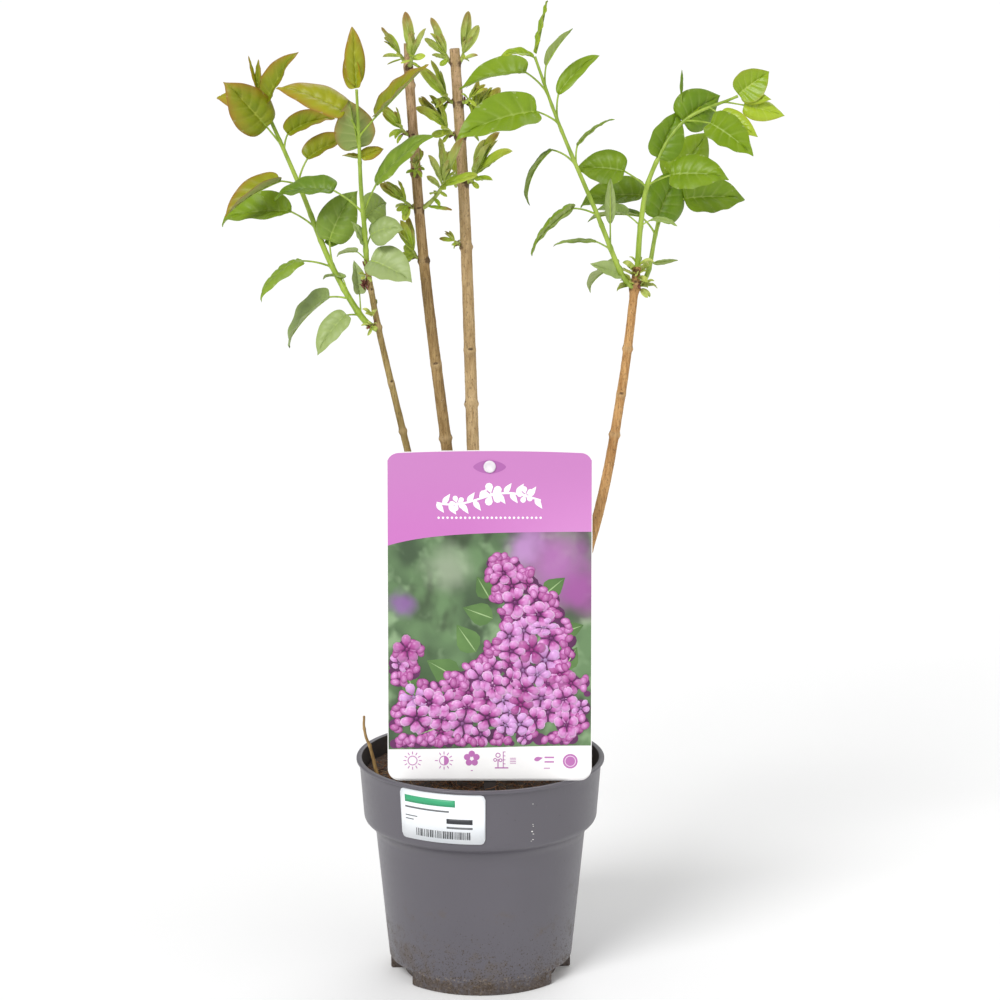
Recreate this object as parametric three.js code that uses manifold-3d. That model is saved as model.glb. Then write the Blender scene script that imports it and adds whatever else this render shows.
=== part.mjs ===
// A young lilac with four cut-back canes, in its nursery pot, with a picture tag on a stake.
// Millimetres, +Z up. The origin is under the middle of the pot, on the plane that it stands on.
// -Y is the front, where the tag is; +X is to the right of someone who looks at the front.
import * as THREE from "three";
import { mergeVertices } from "three/addons/utils/BufferGeometryUtils.js";
import Module from "manifold-3d";

const wasm = await Module();
wasm.setup();

const degree = Math.PI / 180;
const gap = 0.3;                    // clearance between touching pieces

const pot = {
  height: 134, rim: 75, lip: 1.9, bandTop: 73.2, bandFoot: 70.6, bandDepth: 35, shoulder: 5,
  wallTop: 64, wallFoot: 55.6, foot: 54.8, footHeight: 9.5, wall: 1.6, floor: 2, facets: 40,
  drains: { middles: [-156, -20, 88], spread: 35, inner: 46.5 },
};
const compost = { top: 125.7, edge: 122.6, flat: 22, ledgeFrom: 57, ledgeTo: 66, ledge: 123.7 };
const crown = { foot: 13.5, neck: 10.8, height: 18 };
const sticker = { from: -40, to: 2.6, bottom: 100.6, top: 131.6, thick: 0.4, corner: 3, columns: 36 };
const tag = {
  x: 5.8, y: -53, z: 135.6, lean: 5.6, width: 120.5, height: 195.6, crown: 1.1, corner: 7,
  thick: 0.7, drop: 1.1, holeHeight: 186, hole: 2.1, pin: 1.8, head: 3.6, headThick: 1.2,
  stake: { width: 7, thick: 2, point: 9, below: 76, above: 190 },
};

// Canes: where each runs from the crown to its cut or living tip, and its radius at each end.
// Joints are the heights of the swollen rings where leaves were.
const canes = {
  a: {
    route: [[-6, 0, 134], [-24, -5, 240], [-42.6, -8, 323.5], [-59.6, -14, 400.4], [-65.7, -18, 436]],
    thick: [2.7, 1.7], joints: [337, 366, 400, 422],
  },
  b: {
    route: [[0, -6.2, 134], [-8.5, -6.2, 230], [-19.5, -6, 324.3], [-32.7, -5, 436.8], [-42.2, -5, 564.5]],
    thick: [3.9, 2.7], joints: [332, 376, 438, 468, 489.5, 511, 541, 551],
  },
  c: {
    route: [[0, 6.2, 134], [-1.5, 8.5, 230], [-4.2, 11, 320.6], [-9.3, 16, 470.3], [-14.7, 18, 559]],
    thick: [4.3, 3], joints: [349, 381, 443, 480, 508, 527, 552],
  },
  d: {
    route: [[6.2, 0, 134], [36, 0, 187], [68, 0, 274.7], [84, -1, 360], [92.3, -2, 432.7]],
    thick: [3.8, 2.4], joints: [333, 357, 385, 424],
  },
};
const jointSwell = 1.12;
const jointReach = 2.5;             // half the length of a swollen ring

// A dry stub of last year's growth, left of the canes.
const deadTwig = {
  route: [[-61.8, -8, 124], [-65.9, -8, 139.6], [-69.8, -9, 152.5], [-69.9, -9, 161.3]], thick: [1.2, 0.7],
};

// Leafy shoots. Each leaf: place along the stem (0 to 1), turn (0 right, 90 back, 180 left, 270 front),
// rise of its stalk, droop from stalk to tip, twist of its face to the front, stalk length, blade
// length and, where it isn't the usual one, the blade's width as a share of its length.
const shoots = {
  shoot_a1: {
    from: "a", thick: [1.95, 1],
    route: [
      [-60, -14.3, 398.5], [-66.6, -14, 402.8], [-85.5, -4, 431.8], [-107.2, 8, 483.3], [-130, 18, 533.9],
    ],
    leaves: [
      [0.08, 205, 20, 88, 35, 9, 30], [0.08, 150, 88, 10, 40, 13, 20], [0.155, 160, 14, 78, 30, 13, 43],
      [0.18, 140, 90, 120, 0, 9, 17], [0.29, 205, 27, 80, -5, 21, 35],
      [0.27, 4, 108, 58, 72, 19, 34, 0.7], [0.37, 30, 40, 5, 30, 3, 17],
      [0.45, 158, 38, 60, 45, 18, 50, 0.5],
      [0.62, 200, 26, 70, 5, 12, 40], [0.63, 25, 78, 72, 30, 15, 33], [0.78, 202, 52, 5, 80, 15, 37, 0.74],
      [0.76, 25, 92, 98, 40, 10, 32], [0.94, 335, 74, 22, 60, 3, 37], [0.94, 150, 46, 55, 45, 4, 32],
      [1, 175, 72, -5, 10, 2, 20, 0.3], [1, 60, 88, 0, 0, 2, 17, 0.3],
    ],
  },
  shoot_a2: {
    from: "a", thick: [1.7, 0.8],
    route: [
      [-65.6, -18, 435], [-66.9, -23, 461.5], [-68.3, -29, 482.8], [-69, -37, 512.9], [-69.8, -45, 542.6],
    ],
    leaves: [
      [1, 195, 84, -4, 85, 2, 34, 0.42], [0.99, 130, 82, 10, 60, 2, 24], [0.74, 345, 50, 6, 22, 16, 44],
      [0.76, 168, 66, 60, 30, 14, 44], [0.66, 215, 74, -4, -75, 2, 29, 0.85], [0.62, 150, 5, 0, 10, 1, 11],
      [0.62, 30, 25, 10, 50, 1, 16], [0.3, 338, 71, 36, 42, 20, 47, 0.48], [0.31, 160, 44, 66, 25, 22, 40],
      [0.12, 205, 65, 5, 60, 2, 16], [0.2, 62, 92, 100, 65, 9, 25, 0.8], [0.04, 160, 55, 85, 0, 8, 14],
      [0.05, 335, 94, 100, 60, 15, 22, 0.85], [0.04, 330, 20, 50, 40, 3, 30, 0.85],
    ],
  },
  shoot_d1: {
    from: "d", thick: [1.7, 0.8],
    route: [[90.5, -2, 421], [85.2, -6, 426.3], [68.3, -17, 466.9], [45.3, -28, 522.1], [31.8, -36, 560.3]],
    leaves: [
      [1, 5, 76, -2, 10, 2, 31, 0.28], [0.97, 205, 74, 86, 30, 5, 21, 0.45],
      [0.88, 335, 96, 55, 10, 12, 28, 0.4], [0.85, 160, 55, 90, 30, 18, 43],
      [0.74, 25, 100, 75, 35, 15, 35, 0.38], [0.73, 204, 38, 66, 45, 16, 53],
      [0.55, 158, 52, 147, 12, 18, 39, 0.42], [0.55, 332, 100, 80, 0, 12, 30, 0.32],
      [0.34, 207, 32, 92, -35, 17, 39], [0.19, 160, 34, 50, 10, 10, 28, 0.3],
      [0.2, 285, 94, 4, 0, 14, 27, 0.28], [0.07, 200, 32, 12, 65, 2, 21, 0.6],
      [0.08, 135, 60, 120, 20, 6, 30],
    ],
  },
  shoot_d2: {
    from: "d", thick: [1.8, 0.8],
    route: [[92.5, -2, 431.5], [94.5, 0, 459.7], [99.7, 4, 485.6], [118.9, 9, 517.3], [151.1, 14, 531.9]],
    leaves: [
      [0.2, 155, 44, 50, 20, 11, 21], [0.2, 330, 40, 60, 10, 9, 17], [0.38, 170, 42, 50, 55, 16, 29, 0.8],
      [0.39, 340, 30, 36, 45, 16, 35, 0.75], [0.5, 25, 70, 8, 80, 3, 30, 0.75],
      [0.7, 25, 64, 45, 80, 3, 29, 0.9], [0.73, 325, 6, 45, 55, 18, 34, 0.7],
      [0.72, 150, 84, -10, 0, 16, 15, 0.3], [0.76, 50, 30, 0, 10, 2, 22, 0.3],
      [0.86, 330, -30, -8, 50, 8, 27], [0.93, 0, -8, 8, 60, 12, 25, 0.6],
      [0.99, 10, 48, 16, 78, 2, 23, 0.95], [0.99, 350, 5, 10, 60, 3, 18, 0.5],
    ],
  },
  shoot_d3: {
    from: "d", thick: [1.6, 0.8],
    route: [[93, 0, 421.5], [98.3, 6, 426.7], [104.2, 20, 450.6], [109.1, 27, 464.5], [116.9, 34, 479.6]],
    leaves: [
      [0.24, 20, 16, 15, -40, 2, 16, 0.4], [0.5, 155, 60, 85, 0, 14, 36, 0.4],
      [0.5, 50, 84, 40, 60, 9, 35, 0.75], [0.73, 18, 28, 38, 58, 14, 40, 0.65],
      [0.73, 155, 38, 62, 45, 15, 44], [0.98, 25, 76, 30, 78, 2, 34, 0.78], [0.98, 110, 70, 30, 20, 3, 26],
    ],
  },
};

// Young shoots at the canes' tips and at one bud lower down, given in the same way.
const youngShoots = {
  shoot_b1: {
    from: "b", thick: [1.3, 0.8], route: [[-41, -6, 551], [-39.5, -9.6, 554.5], [-39.2, -10.6, 559]],
    leaves: [
      [0.9, 180, 87, 6, -80, 1, 25, 0.3], [0.7, 0, 62, -4, -50, 1, 19, 0.32],
      [0.8, 230, 86, 20, -80, 1, 9, 0.61], [0.4, 350, 0, 40, 20, 1, 7, 0.49],
      [0.4, 185, 20, 60, 20, 1, 6, 0.49],
    ],
  },
  shoot_b2: {
    from: "b", thick: [1.3, 0.8], route: [[-41, -5, 552], [-44.2, -5, 555.5], [-46, -5.5, 558.5]],
    leaves: [
      [1, 178, 42, -18, -40, 1, 18, 0.32], [0.9, 200, 70, 30, -40, 1, 14, 0.37],
      [0.9, 160, 78, 10, 30, 1, 13, 0.37], [0.8, 185, 15, 20, -50, 1, 10, 0.44],
      [0.6, 190, 4, 30, -20, 1, 9, 0.37],
    ],
  },
  shoot_b3: {
    from: "b", thick: [1.5, 0.8],
    route: [[-36, -5, 467], [-31.5, -6, 470], [-27, -7, 474.2], [-22.8, -9, 480.2], [-20, -10, 486]],
    leaves: [
      [0.9, 355, 60, -8, -40, 1, 30, 0.33], [0.8, 330, 44, 30, 40, 1, 25, 0.37],
      [0.95, 170, 84, 0, -60, 1, 25, 0.27], [0.9, 250, 88, -4, -80, 1, 22, 0.3],
      [0.85, 186, 70, 5, -50, 1, 19, 0.37], [0.8, 180, 30, -10, -60, 1, 10, 0.55],
      [0.55, 184, 20, 10, -30, 1, 8, 0.49], [0.2, 340, 12, 20, 30, 1, 16, 0.24],
      [0.15, 178, 84, 0, 30, 1, 12, 0.24],
    ],
  },
  shoot_c1: {
    from: "c", thick: [1.3, 0.8], route: [[-14.5, 18, 549], [-18, 18, 552.2], [-20, 17.5, 556.2]],
    leaves: [
      [1, 182, 62, -8, -60, 1, 22, 0.32], [0.9, 210, 84, 4, -80, 1, 17, 0.39],
      [0.9, 176, 34, -6, -60, 1, 15, 0.41], [0.6, 184, 12, -6, -50, 1, 9, 0.51],
      [0.7, 90, 50, 20, 20, 1, 16, 0.37],
    ],
  },
  shoot_c2: {
    from: "c", thick: [1.3, 0.8], route: [[-14.5, 18, 549], [-11, 17.5, 552.2], [-9.6, 17, 556.5]],
    leaves: [
      [1, 10, 86, 4, -70, 1, 24, 0.33], [0.9, 350, 62, 0, -70, 1, 19, 0.37],
      [0.6, 0, 10, -6, -50, 1, 9, 0.51], [0.8, 80, 60, 20, 30, 1, 15, 0.39],
      [0.7, 280, 60, 80, 10, 1, 8, 0.49],
    ],
  },
};

// Tufts of young leaves out of the canes' buds: cane, height, turn, rise, length of the twig,
// length of the leaves, pairs of leaves.
const tufts = {
  tuft_b3: ["b", 511, 180, 52, 4, 18, 2],
  tuft_b4: ["b", 489.5, 270, 45, 3, 12, 2],
  tuft_b5: ["b", 489.5, 90, 45, 3, 14, 2],
  tuft_b6: ["b", 468, 180, 44, 4, 20, 2],
  tuft_b8: ["b", 438, 160, 68, 4, 22, 2],
  tuft_c3: ["c", 527, 180, 56, 3, 26, 2],
  tuft_c4: ["c", 527, 340, 45, 3, 14, 2],
  tuft_c5: ["c", 508, 185, 50, 4, 28, 2],
  tuft_c6: ["c", 508, 10, 66, 6, 28, 2],
  tuft_c7: ["c", 480, 335, 60, 6, 27, 3],
  tuft_c8: ["c", 480, 120, 60, 4, 21, 2],
  tuft_c9: ["c", 443, 180, 45, 2, 9, 1],
};

const colours = {
  pot: 0x6f6b72, compost: 0x3a2a20, crown: 0x8a6a48, cane: 0xb08f63, olive: 0xa58a55, straw: 0xb89a62,
  leaf: 0x6f9a3c, bronze: 0x8a8a3a, grey: 0x7f9f5c, young: 0x98a24a, card: 0xd98ccf, paper: 0xf2f0ee,
};

// ---- solids ----

// A three.js geometry as a solid: shared vertices, no empty faces, faces outwards.
function solid(geometry) {
  const plain = geometry.clone();
  plain.deleteAttribute("normal");
  plain.deleteAttribute("uv");
  const merged = mergeVertices(plain, 1e-4);
  const place = merged.attributes.position;
  const corners = merged.index.array;
  const faces = [];
  const [p, q, r] = [new THREE.Vector3(), new THREE.Vector3(), new THREE.Vector3()];
  let volume = 0;
  for (let i = 0; i < corners.length; i += 3) {
    const [a, b, c] = [corners[i], corners[i + 1], corners[i + 2]];
    if (a === b || b === c || c === a) continue;
    faces.push(a, b, c);
    volume += p.fromBufferAttribute(place, a).dot(
      q.fromBufferAttribute(place, b).cross(r.fromBufferAttribute(place, c)));
  }
  if (volume < 0) faces.reverse();
  return new wasm.Manifold(new wasm.Mesh({
    numProp: 3, vertProperties: new Float32Array(place.array), triVerts: new Uint32Array(faces),
  }));
}

// A solid as a named mesh.
function piece(name, body, colour, roughness = 0.8) {
  const { numProp, vertProperties, triVerts } = body.getMesh();
  const positions = new Float32Array((vertProperties.length / numProp) * 3);
  for (let i = 0; i < positions.length / 3; i += 1) {
    positions.set(vertProperties.subarray(i * numProp, i * numProp + 3), i * 3);
  }
  const geometry = new THREE.BufferGeometry();
  geometry.setAttribute("position", new THREE.BufferAttribute(positions, 3));
  geometry.setIndex(new THREE.BufferAttribute(new Uint32Array(triVerts), 1));
  geometry.computeVertexNormals();
  const material = new THREE.MeshStandardMaterial({ color: colour, roughness, metalness: 0 });
  const mesh = new THREE.Mesh(geometry, material);
  mesh.name = name;
  return mesh;
}

// The largest loose part of a solid, without the scraps a cut can leave.
function whole(body) {
  return body.decompose().sort((one, other) => other.volume() - one.volume())[0];
}

// A closed skin over rings of points; a ring of one point is a tip.
function skin(rings) {
  const points = rings.flat();
  const starts = [];
  rings.reduce((start, ring) => (starts.push(start), start + ring.length), 0);
  const faces = [];
  for (let i = 0; i + 1 < rings.length; i += 1) {
    const [here, next, count] = [starts[i], starts[i + 1], Math.max(rings[i].length, rings[i + 1].length)];
    for (let k = 0; k < count; k += 1) {
      const l = (k + 1) % count;
      if (rings[i].length > 1) faces.push(here + k, here + l, next + (rings[i + 1].length > 1 ? l : 0));
      if (rings[i + 1].length > 1) faces.push(here + (rings[i].length > 1 ? k : 0), next + l, next + k);
    }
  }
  for (const [ring, start, back] of [[rings[0], starts[0], true], [rings.at(-1), starts.at(-1), false]]) {
    for (let k = 1; k + 1 < ring.length; k += 1) {
      faces.push(start, start + (back ? k + 1 : k), start + (back ? k : k + 1));
    }
  }
  const geometry = new THREE.BufferGeometry();
  const flat = new Float32Array(points.flatMap((point) => point.toArray()));
  geometry.setAttribute("position", new THREE.BufferAttribute(flat, 3));
  geometry.setIndex(faces);
  return geometry;
}

// Turns a profile of [radius, height] points about the Z axis.
function turned(profile, facets = pot.facets) {
  const points = profile.map(([radius, height]) => new THREE.Vector2(radius, height));
  return solid(new THREE.LatheGeometry(points, facets).rotateX(90 * degree));
}

// ---- pot, compost and crown ----

const band = pot.height - pot.bandDepth;        // height of the band's lower corner

const wallHeight = band - pot.shoulder;         // height where the wall meets the band

function innerRadius(height) {
  if (height < band) {
    return THREE.MathUtils.mapLinear(height, 0, wallHeight, pot.wallFoot, pot.wallTop) - pot.wall;
  }
  return THREE.MathUtils.mapLinear(height, band, pot.height, pot.bandFoot, pot.bandTop) - pot.wall;
}

// The inside of the wall from a height up to the band's lower corner, as [radius, height] points.
function innerStep(clear) {
  return [
    [innerRadius(wallHeight) - clear, wallHeight + pot.wall + clear],
    [innerRadius(band) - 1.4 - clear, wallHeight + 2.2 * pot.wall + clear],
    [innerRadius(band) - clear, band + 0.5 + clear],
  ];
}

function drainBlock(grow) {
  const blocks = pot.drains.middles.map((middle) => {
    const half = pot.drains.spread / 2 * degree + grow / pot.foot;
    const [from, to] = [middle * degree - half, middle * degree + half];
    const outline = new THREE.Shape();
    outline.absarc(0, 0, pot.rim, from, to, false);
    outline.absarc(0, 0, pot.drains.inner - grow, to, from, true);
    const block = new THREE.ExtrudeGeometry(outline, {
      depth: pot.footHeight + grow + 5, bevelEnabled: false, curveSegments: 6,
    });
    return solid(block.translate(0, 0, -5));
  });
  return wasm.Manifold.union(blocks);
}

function makePot() {
  const corner = [0, 30, 60, 90].map((angle) => [
    pot.bandFoot - pot.shoulder * (1 - Math.cos(angle * degree)),
    band - pot.shoulder * Math.sin(angle * degree),
  ]).reverse();
  const lipFoot = pot.height - pot.lip;
  const shell = turned([
    [0, 0], [pot.foot - 1, 0], [pot.foot, 1], [pot.foot, pot.footHeight - 0.6],
    [pot.wallFoot, pot.footHeight], [pot.wallTop, wallHeight], ...corner,
    [pot.bandTop, lipFoot], [pot.rim, lipFoot + 0.3],
    [pot.rim, pot.height - 0.4], [pot.rim - 0.5, pot.height], [0, pot.height],
  ]);
  const hollow = turned([
    [0, pot.floor], [innerRadius(0) - 1, pot.floor], [innerRadius(1), pot.floor + 1],
    ...innerStep(0), [innerRadius(pot.height), pot.height], [innerRadius(pot.height), pot.height + 5],
    [0, pot.height + 5],
  ]);
  return shell.subtract(hollow.subtract(drainBlock(pot.wall))).subtract(drainBlock(0));
}

function makeCompost(cuts) {
  const clear = gap + 0.1;
  const low = pot.footHeight + pot.wall + clear;
  const plug = turned([
    [0, pot.floor + gap], [pot.drains.inner - pot.wall - clear, pot.floor + gap],
    [pot.drains.inner - pot.wall - clear, low], [innerRadius(low) - clear, low],
    ...innerStep(clear),
    [innerRadius(compost.edge) - clear, compost.edge], [compost.ledgeTo, compost.ledge],
    [compost.ledgeFrom, compost.ledge], [compost.flat, compost.top], [0, compost.top],
  ]);
  return cuts.reduce((body, cut) => body.subtract(cut), plug);
}

// The short stem that the canes spring from; its foot is a flat cut on the compost.
function makeCrown(grow = 0) {
  const foot = compost.top + (grow ? -1 : gap);
  const top = compost.top + gap + crown.height + grow;
  return turned([
    [0, foot], [crown.foot + grow, foot], [crown.foot - 1.6 + grow, compost.top + 3],
    [crown.neck + grow, compost.top + 8], [crown.neck + grow, top - 5],
    [crown.neck - 2 + grow, top - 1.8], [crown.neck - 5.5, top], [0, top],
  ], 16);
}

// ---- limbs ----

const point = (place) => new THREE.Vector3(...place);

// One tapering limb with swollen joints, along a smooth curve.
function limb({ route, thick, joints = [], steps = 7, sides = 8 }, grow = 0) {
  const curve = new THREE.CatmullRomCurve3(route.map(point));
  const length = curve.getLength();
  const stations = new Map();
  for (let i = 0; i <= steps; i += 1) stations.set(i / steps, 1);
  for (const height of joints) {
    const at = shareAtHeight(curve, height);
    const reach = jointReach / length;
    for (const key of stations.keys()) {
      if (key > 0 && key < 1 && Math.abs(key - at) < 2.5 * reach) stations.delete(key);
    }
    stations.set(at - reach, 1).set(at, jointSwell).set(Math.min(at + reach, 0.995), 1);
  }
  const rings = [...stations.keys()].sort((one, other) => one - other).map((at) => {
    const radius = THREE.MathUtils.lerp(thick[0], thick[1], at) * stations.get(at) + grow;
    return ring(curve.getPointAt(at), curve.getTangentAt(at), radius, sides);
  });
  return skin(rings);
}

function ring(centre, along, radius, sides) {
  const side = along.clone().cross(new THREE.Vector3(0, 1, 0)).normalize();
  const other = along.clone().cross(side);
  return Array.from({ length: sides }, (_, k) => centre.clone()
    .addScaledVector(side, radius * Math.cos(2 * Math.PI * k / sides))
    .addScaledVector(other, radius * Math.sin(2 * Math.PI * k / sides)));
}

// How far along a rising curve a height comes, from 0 to 1.
function shareAtHeight(curve, height) {
  let [low, high] = [0, 1];
  for (let i = 0; i < 20; i += 1) {
    const middle = (low + high) / 2;
    if (curve.getPointAt(middle).z < height) low = middle; else high = middle;
  }
  return (low + high) / 2;
}

// ---- leaves ----

const bladeShare = 0.54;            // usual width of a blade, as a share of its length
const fold = 20 * degree;           // how far each half of a blade stands up from its middle rib
const stalkBend = 0.3;              // shares of a leaf's droop: in its stalk,
const nod = 0.3;                    // where blade meets stalk, and the rest in its blade
const leafThick = 0.6;

function arcStep(from, to, length, distance) {
  const bend = (from - to) / length;
  const slope = from - bend * distance;
  if (Math.abs(bend) < 1e-6) return [Math.cos(from) * distance, Math.sin(from) * distance, slope];
  return [(Math.sin(from) - Math.sin(slope)) / bend, (Math.cos(slope) - Math.cos(from)) / bend, slope];
}

// Half width of a blade, broad near its base and drawn out to a point.
function halfWidth(share) {
  return share ** 0.5 * (1 - share) ** 0.95 / 0.393 / 2;
}

// Centre, sideways and upward directions of a leaf at a distance from its root.
function leafFrame(root, leaf, distance) {
  const { turn, rise, droop, twist, stalk, blade } = leaf;
  const stalkEnd = rise - stalkBend * droop;
  let [run, climb, slope] = arcStep(rise, stalkEnd, stalk, Math.min(distance, stalk));
  if (distance > stalk) {
    const onBlade = arcStep(stalkEnd - nod * droop, rise - droop, blade, distance - stalk);
    [run, climb, slope] = [run + onBlade[0], climb + onBlade[1], onBlade[2]];
  }
  const outward = new THREE.Vector3(Math.cos(turn), Math.sin(turn), 0);
  const centre = root.clone().addScaledVector(outward, run).add(new THREE.Vector3(0, 0, climb));
  const along = outward.clone().multiplyScalar(Math.cos(slope)).add(new THREE.Vector3(0, 0, Math.sin(slope)));
  const faceFront = (Math.cos(turn) >= 0 ? 1 : -1) * twist;
  const side = new THREE.Vector3(-Math.sin(turn), Math.cos(turn), 0).applyAxisAngle(along, faceFront);
  return { centre, side, up: along.clone().cross(side) };
}

function leafRing({ centre, side, up }, half, thick) {
  const lift = half > thick ? fold : 0;
  const edge = (way) => centre.clone().addScaledVector(side, way * half * Math.cos(lift))
    .addScaledVector(up, half * Math.sin(lift));
  const face = (way) => centre.clone().addScaledVector(up, way * thick / 2);
  return [edge(1), face(1), edge(-1), face(-1)];
}

// A stalked leaf starts with a square end inside its stem, a stalkless one with a point.
function leafSkin(root, leaf, stations) {
  const stalked = leaf.stalk > 3;
  const start = leafFrame(root, leaf, stalked ? 0 : -1);
  const rings = [stalked ? leafRing(start, leafThick, 2 * leafThick) : [start.centre]];
  if (stalked) rings.push(leafRing(leafFrame(root, leaf, leaf.stalk), leafThick, 1.4 * leafThick));
  for (const share of stations) {
    const frame = leafFrame(root, leaf, leaf.stalk + share * leaf.blade);
    rings.push(leafRing(frame, halfWidth(share) * leaf.width * leaf.blade, leafThick));
  }
  rings.push([leafFrame(root, leaf, leaf.stalk + leaf.blade).centre]);
  return skin(rings);
}

// True if a blade comes too near a cane.
function touchesCane(root, leaf) {
  const room = 0.9;
  return Object.values(caneCurves).some(({ curve, thick }) => {
    for (let share = 0.15; share <= 1; share += 0.17) {
      const { centre, side } = leafFrame(root, leaf, leaf.stalk + share * leaf.blade);
      const half = halfWidth(Math.min(share, 0.98)) * leaf.width * leaf.blade;
      for (const way of [-1, 0, 1]) {
        const spot = centre.clone().addScaledVector(side, way * half);
        const at = shareAtHeight(curve, spot.z);
        const radius = THREE.MathUtils.lerp(thick[0], thick[1], at);
        if (curve.getPointAt(at).distanceTo(spot) < radius + room) return true;
      }
    }
    return false;
  });
}

// ---- masses: a stem with its leaves fused on ----

const caneCurves = Object.fromEntries(Object.entries(canes).map(([name, cane]) => [name, {
  curve: new THREE.CatmullRomCurve3(cane.route.map(point)), thick: cane.thick,
}]));
const grownCanes = Object.fromEntries(
  Object.entries(canes).map(([name, cane]) => [name, solid(limb(cane, gap))]));

function mass(stem, leaves, cane, stations) {
  const parts = leaves.filter(({ root, leaf }) => !touchesCane(root, leaf))
    .map(({ root, leaf }) => solid(leafSkin(root, leaf, stations)));
  return whole(wasm.Manifold.union([solid(limb(stem)), ...parts]).subtract(grownCanes[cane]));
}

function makeShoot({ from, route, thick, leaves }, steps, sides, stations) {
  const curve = new THREE.CatmullRomCurve3(route.map(point));
  const grown = leaves.map(([at, turn, rise, droop, twist, stalk, blade, width = bladeShare]) => ({
    root: curve.getPointAt(at),
    leaf: {
      turn: turn * degree, rise: rise * degree, droop: droop * degree, twist: twist * degree,
      stalk, blade, width,
    },
  }));
  return mass({ route, thick, steps, sides }, grown, from, stations);
}

// Repeatable random numbers from 0 to 1.
function seeded(seed) {
  let state = seed;
  return () => {
    state = (state * 16807) % 2147483647;
    return state / 2147483647;
  };
}

// Young leaves in crossed pairs on a short twig, the outer pairs shorter and more spread.
function makeTuft([cane, height, turn, rise, length, size, pairs], seed) {
  const random = seeded(seed);
  const { curve } = caneCurves[cane];
  const start = curve.getPointAt(shareAtHeight(curve, height));
  const away = new THREE.Vector3(Math.cos(turn * degree), Math.sin(turn * degree), 0);
  const up = new THREE.Vector3(0, 0, 1);
  const axis = away.clone().applyAxisAngle(new THREE.Vector3(away.y, -away.x, 0), rise * degree);
  const elbow = start.clone().addScaledVector(away, caneCurves[cane].thick[0] + 1).addScaledVector(up, 1.5);
  const tip = elbow.clone().addScaledVector(axis, length);
  const side = axis.clone().cross(new THREE.Vector3(away.y, -away.x, 0)).normalize();
  const leaves = [];
  for (let pair = 0; pair < pairs; pair += 1) {
    const inner = pairs > 1 ? pair / (pairs - 1) : 1;
    for (const way of [0, 180]) {
      const around = (90 * pair + way + 30 * (random() - 0.5)) * degree;
      const spread = (62 - 48 * inner + 10 * (random() - 0.5)) * degree;
      const heading = axis.clone().multiplyScalar(Math.cos(spread))
        .addScaledVector(side.clone().applyAxisAngle(axis, around), Math.sin(spread));
      const long = size * (0.5 + 0.5 * inner) * (0.8 + 0.3 * random());
      leaves.push({
        root: elbow.clone().lerp(tip, 0.35 + 0.6 * inner),
        leaf: {
          turn: Math.atan2(heading.y, heading.x), rise: Math.asin(heading.z),
          droop: 25 * random() * degree, twist: (20 + 60 * random()) * degree,
          stalk: 0.06 * long, blade: 0.94 * long, width: 0.42 + 0.12 * random(),
        },
      });
    }
  }
  const route = [start, elbow, tip].map((place) => place.toArray());
  return mass({ route, thick: [1.5, 1], steps: 2, sides: 5 }, leaves, cane, [0.3, 0.7]);
}

// ---- tag, stake and sticker ----

function cardOutline(holeHeight) {
  const { width, height, crown: rise, corner, hole } = tag;
  const half = width / 2;
  const outline = new THREE.Shape();
  outline.moveTo(-half + corner, 0);
  outline.lineTo(half - corner, 0);
  outline.absarc(half - corner, corner, corner, -90 * degree, 0, false);
  outline.absarc(half - corner, height - rise - corner, corner, 0, 90 * degree, false);
  outline.quadraticCurveTo(0, height + rise, -half + corner, height - rise);
  outline.absarc(-half + corner, height - rise - corner, corner, 90 * degree, 180 * degree, false);
  outline.absarc(-half + corner, corner, corner, 180 * degree, 270 * degree, false);
  const round = new THREE.Path();
  round.absarc(0, holeHeight, hole, 0, 360 * degree, true);
  outline.holes.push(round);
  return outline;
}

function makeCard(holeHeight) {
  const outline = cardOutline(holeHeight);
  const sheet = { depth: tag.thick, bevelEnabled: false, curveSegments: 4 };
  return solid(new THREE.ExtrudeGeometry(outline, sheet));
}

function makeStake(grow = 0) {
  const { width, thick, point: tip, below, above } = tag.stake;
  const half = width / 2 + grow;
  const outline = new THREE.Shape([
    [0, -below - grow], [half, -below + tip], [half, above], [-half, above], [-half, -below + tip],
  ].map(([x, y]) => new THREE.Vector2(x, y)));
  const blade = new THREE.ExtrudeGeometry(outline, { depth: thick + 2 * grow, bevelEnabled: false });
  return solid(blade.translate(0, 0, -thick - grow));
}

function makeButton() {
  const { pin, head, headThick, thick } = tag;
  const back = -2 * thick - gap;
  return turned([
    [0, back], [pin, back], [pin, gap], [head, gap], [head, gap + headThick * 0.5],
    [head * 0.7, gap + headThick], [0, gap + headThick],
  ], 12);
}

// Turns the tag's own frame (X right, Y up the card, Z to the front) to stand in the pot.
function stand(object, x, y, z) {
  const frame = new THREE.Group();
  frame.position.set(tag.x, tag.y, tag.z);
  frame.rotation.x = (90 - tag.lean) * degree;
  object.position.set(x, y, z);
  frame.add(object);
  return frame;
}

function placed(body, x, y, z) {
  const holder = new THREE.Object3D();
  const frame = stand(holder, x, y, z);
  frame.updateMatrixWorld(true);
  return body.transform(holder.matrixWorld.toArray());
}

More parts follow.
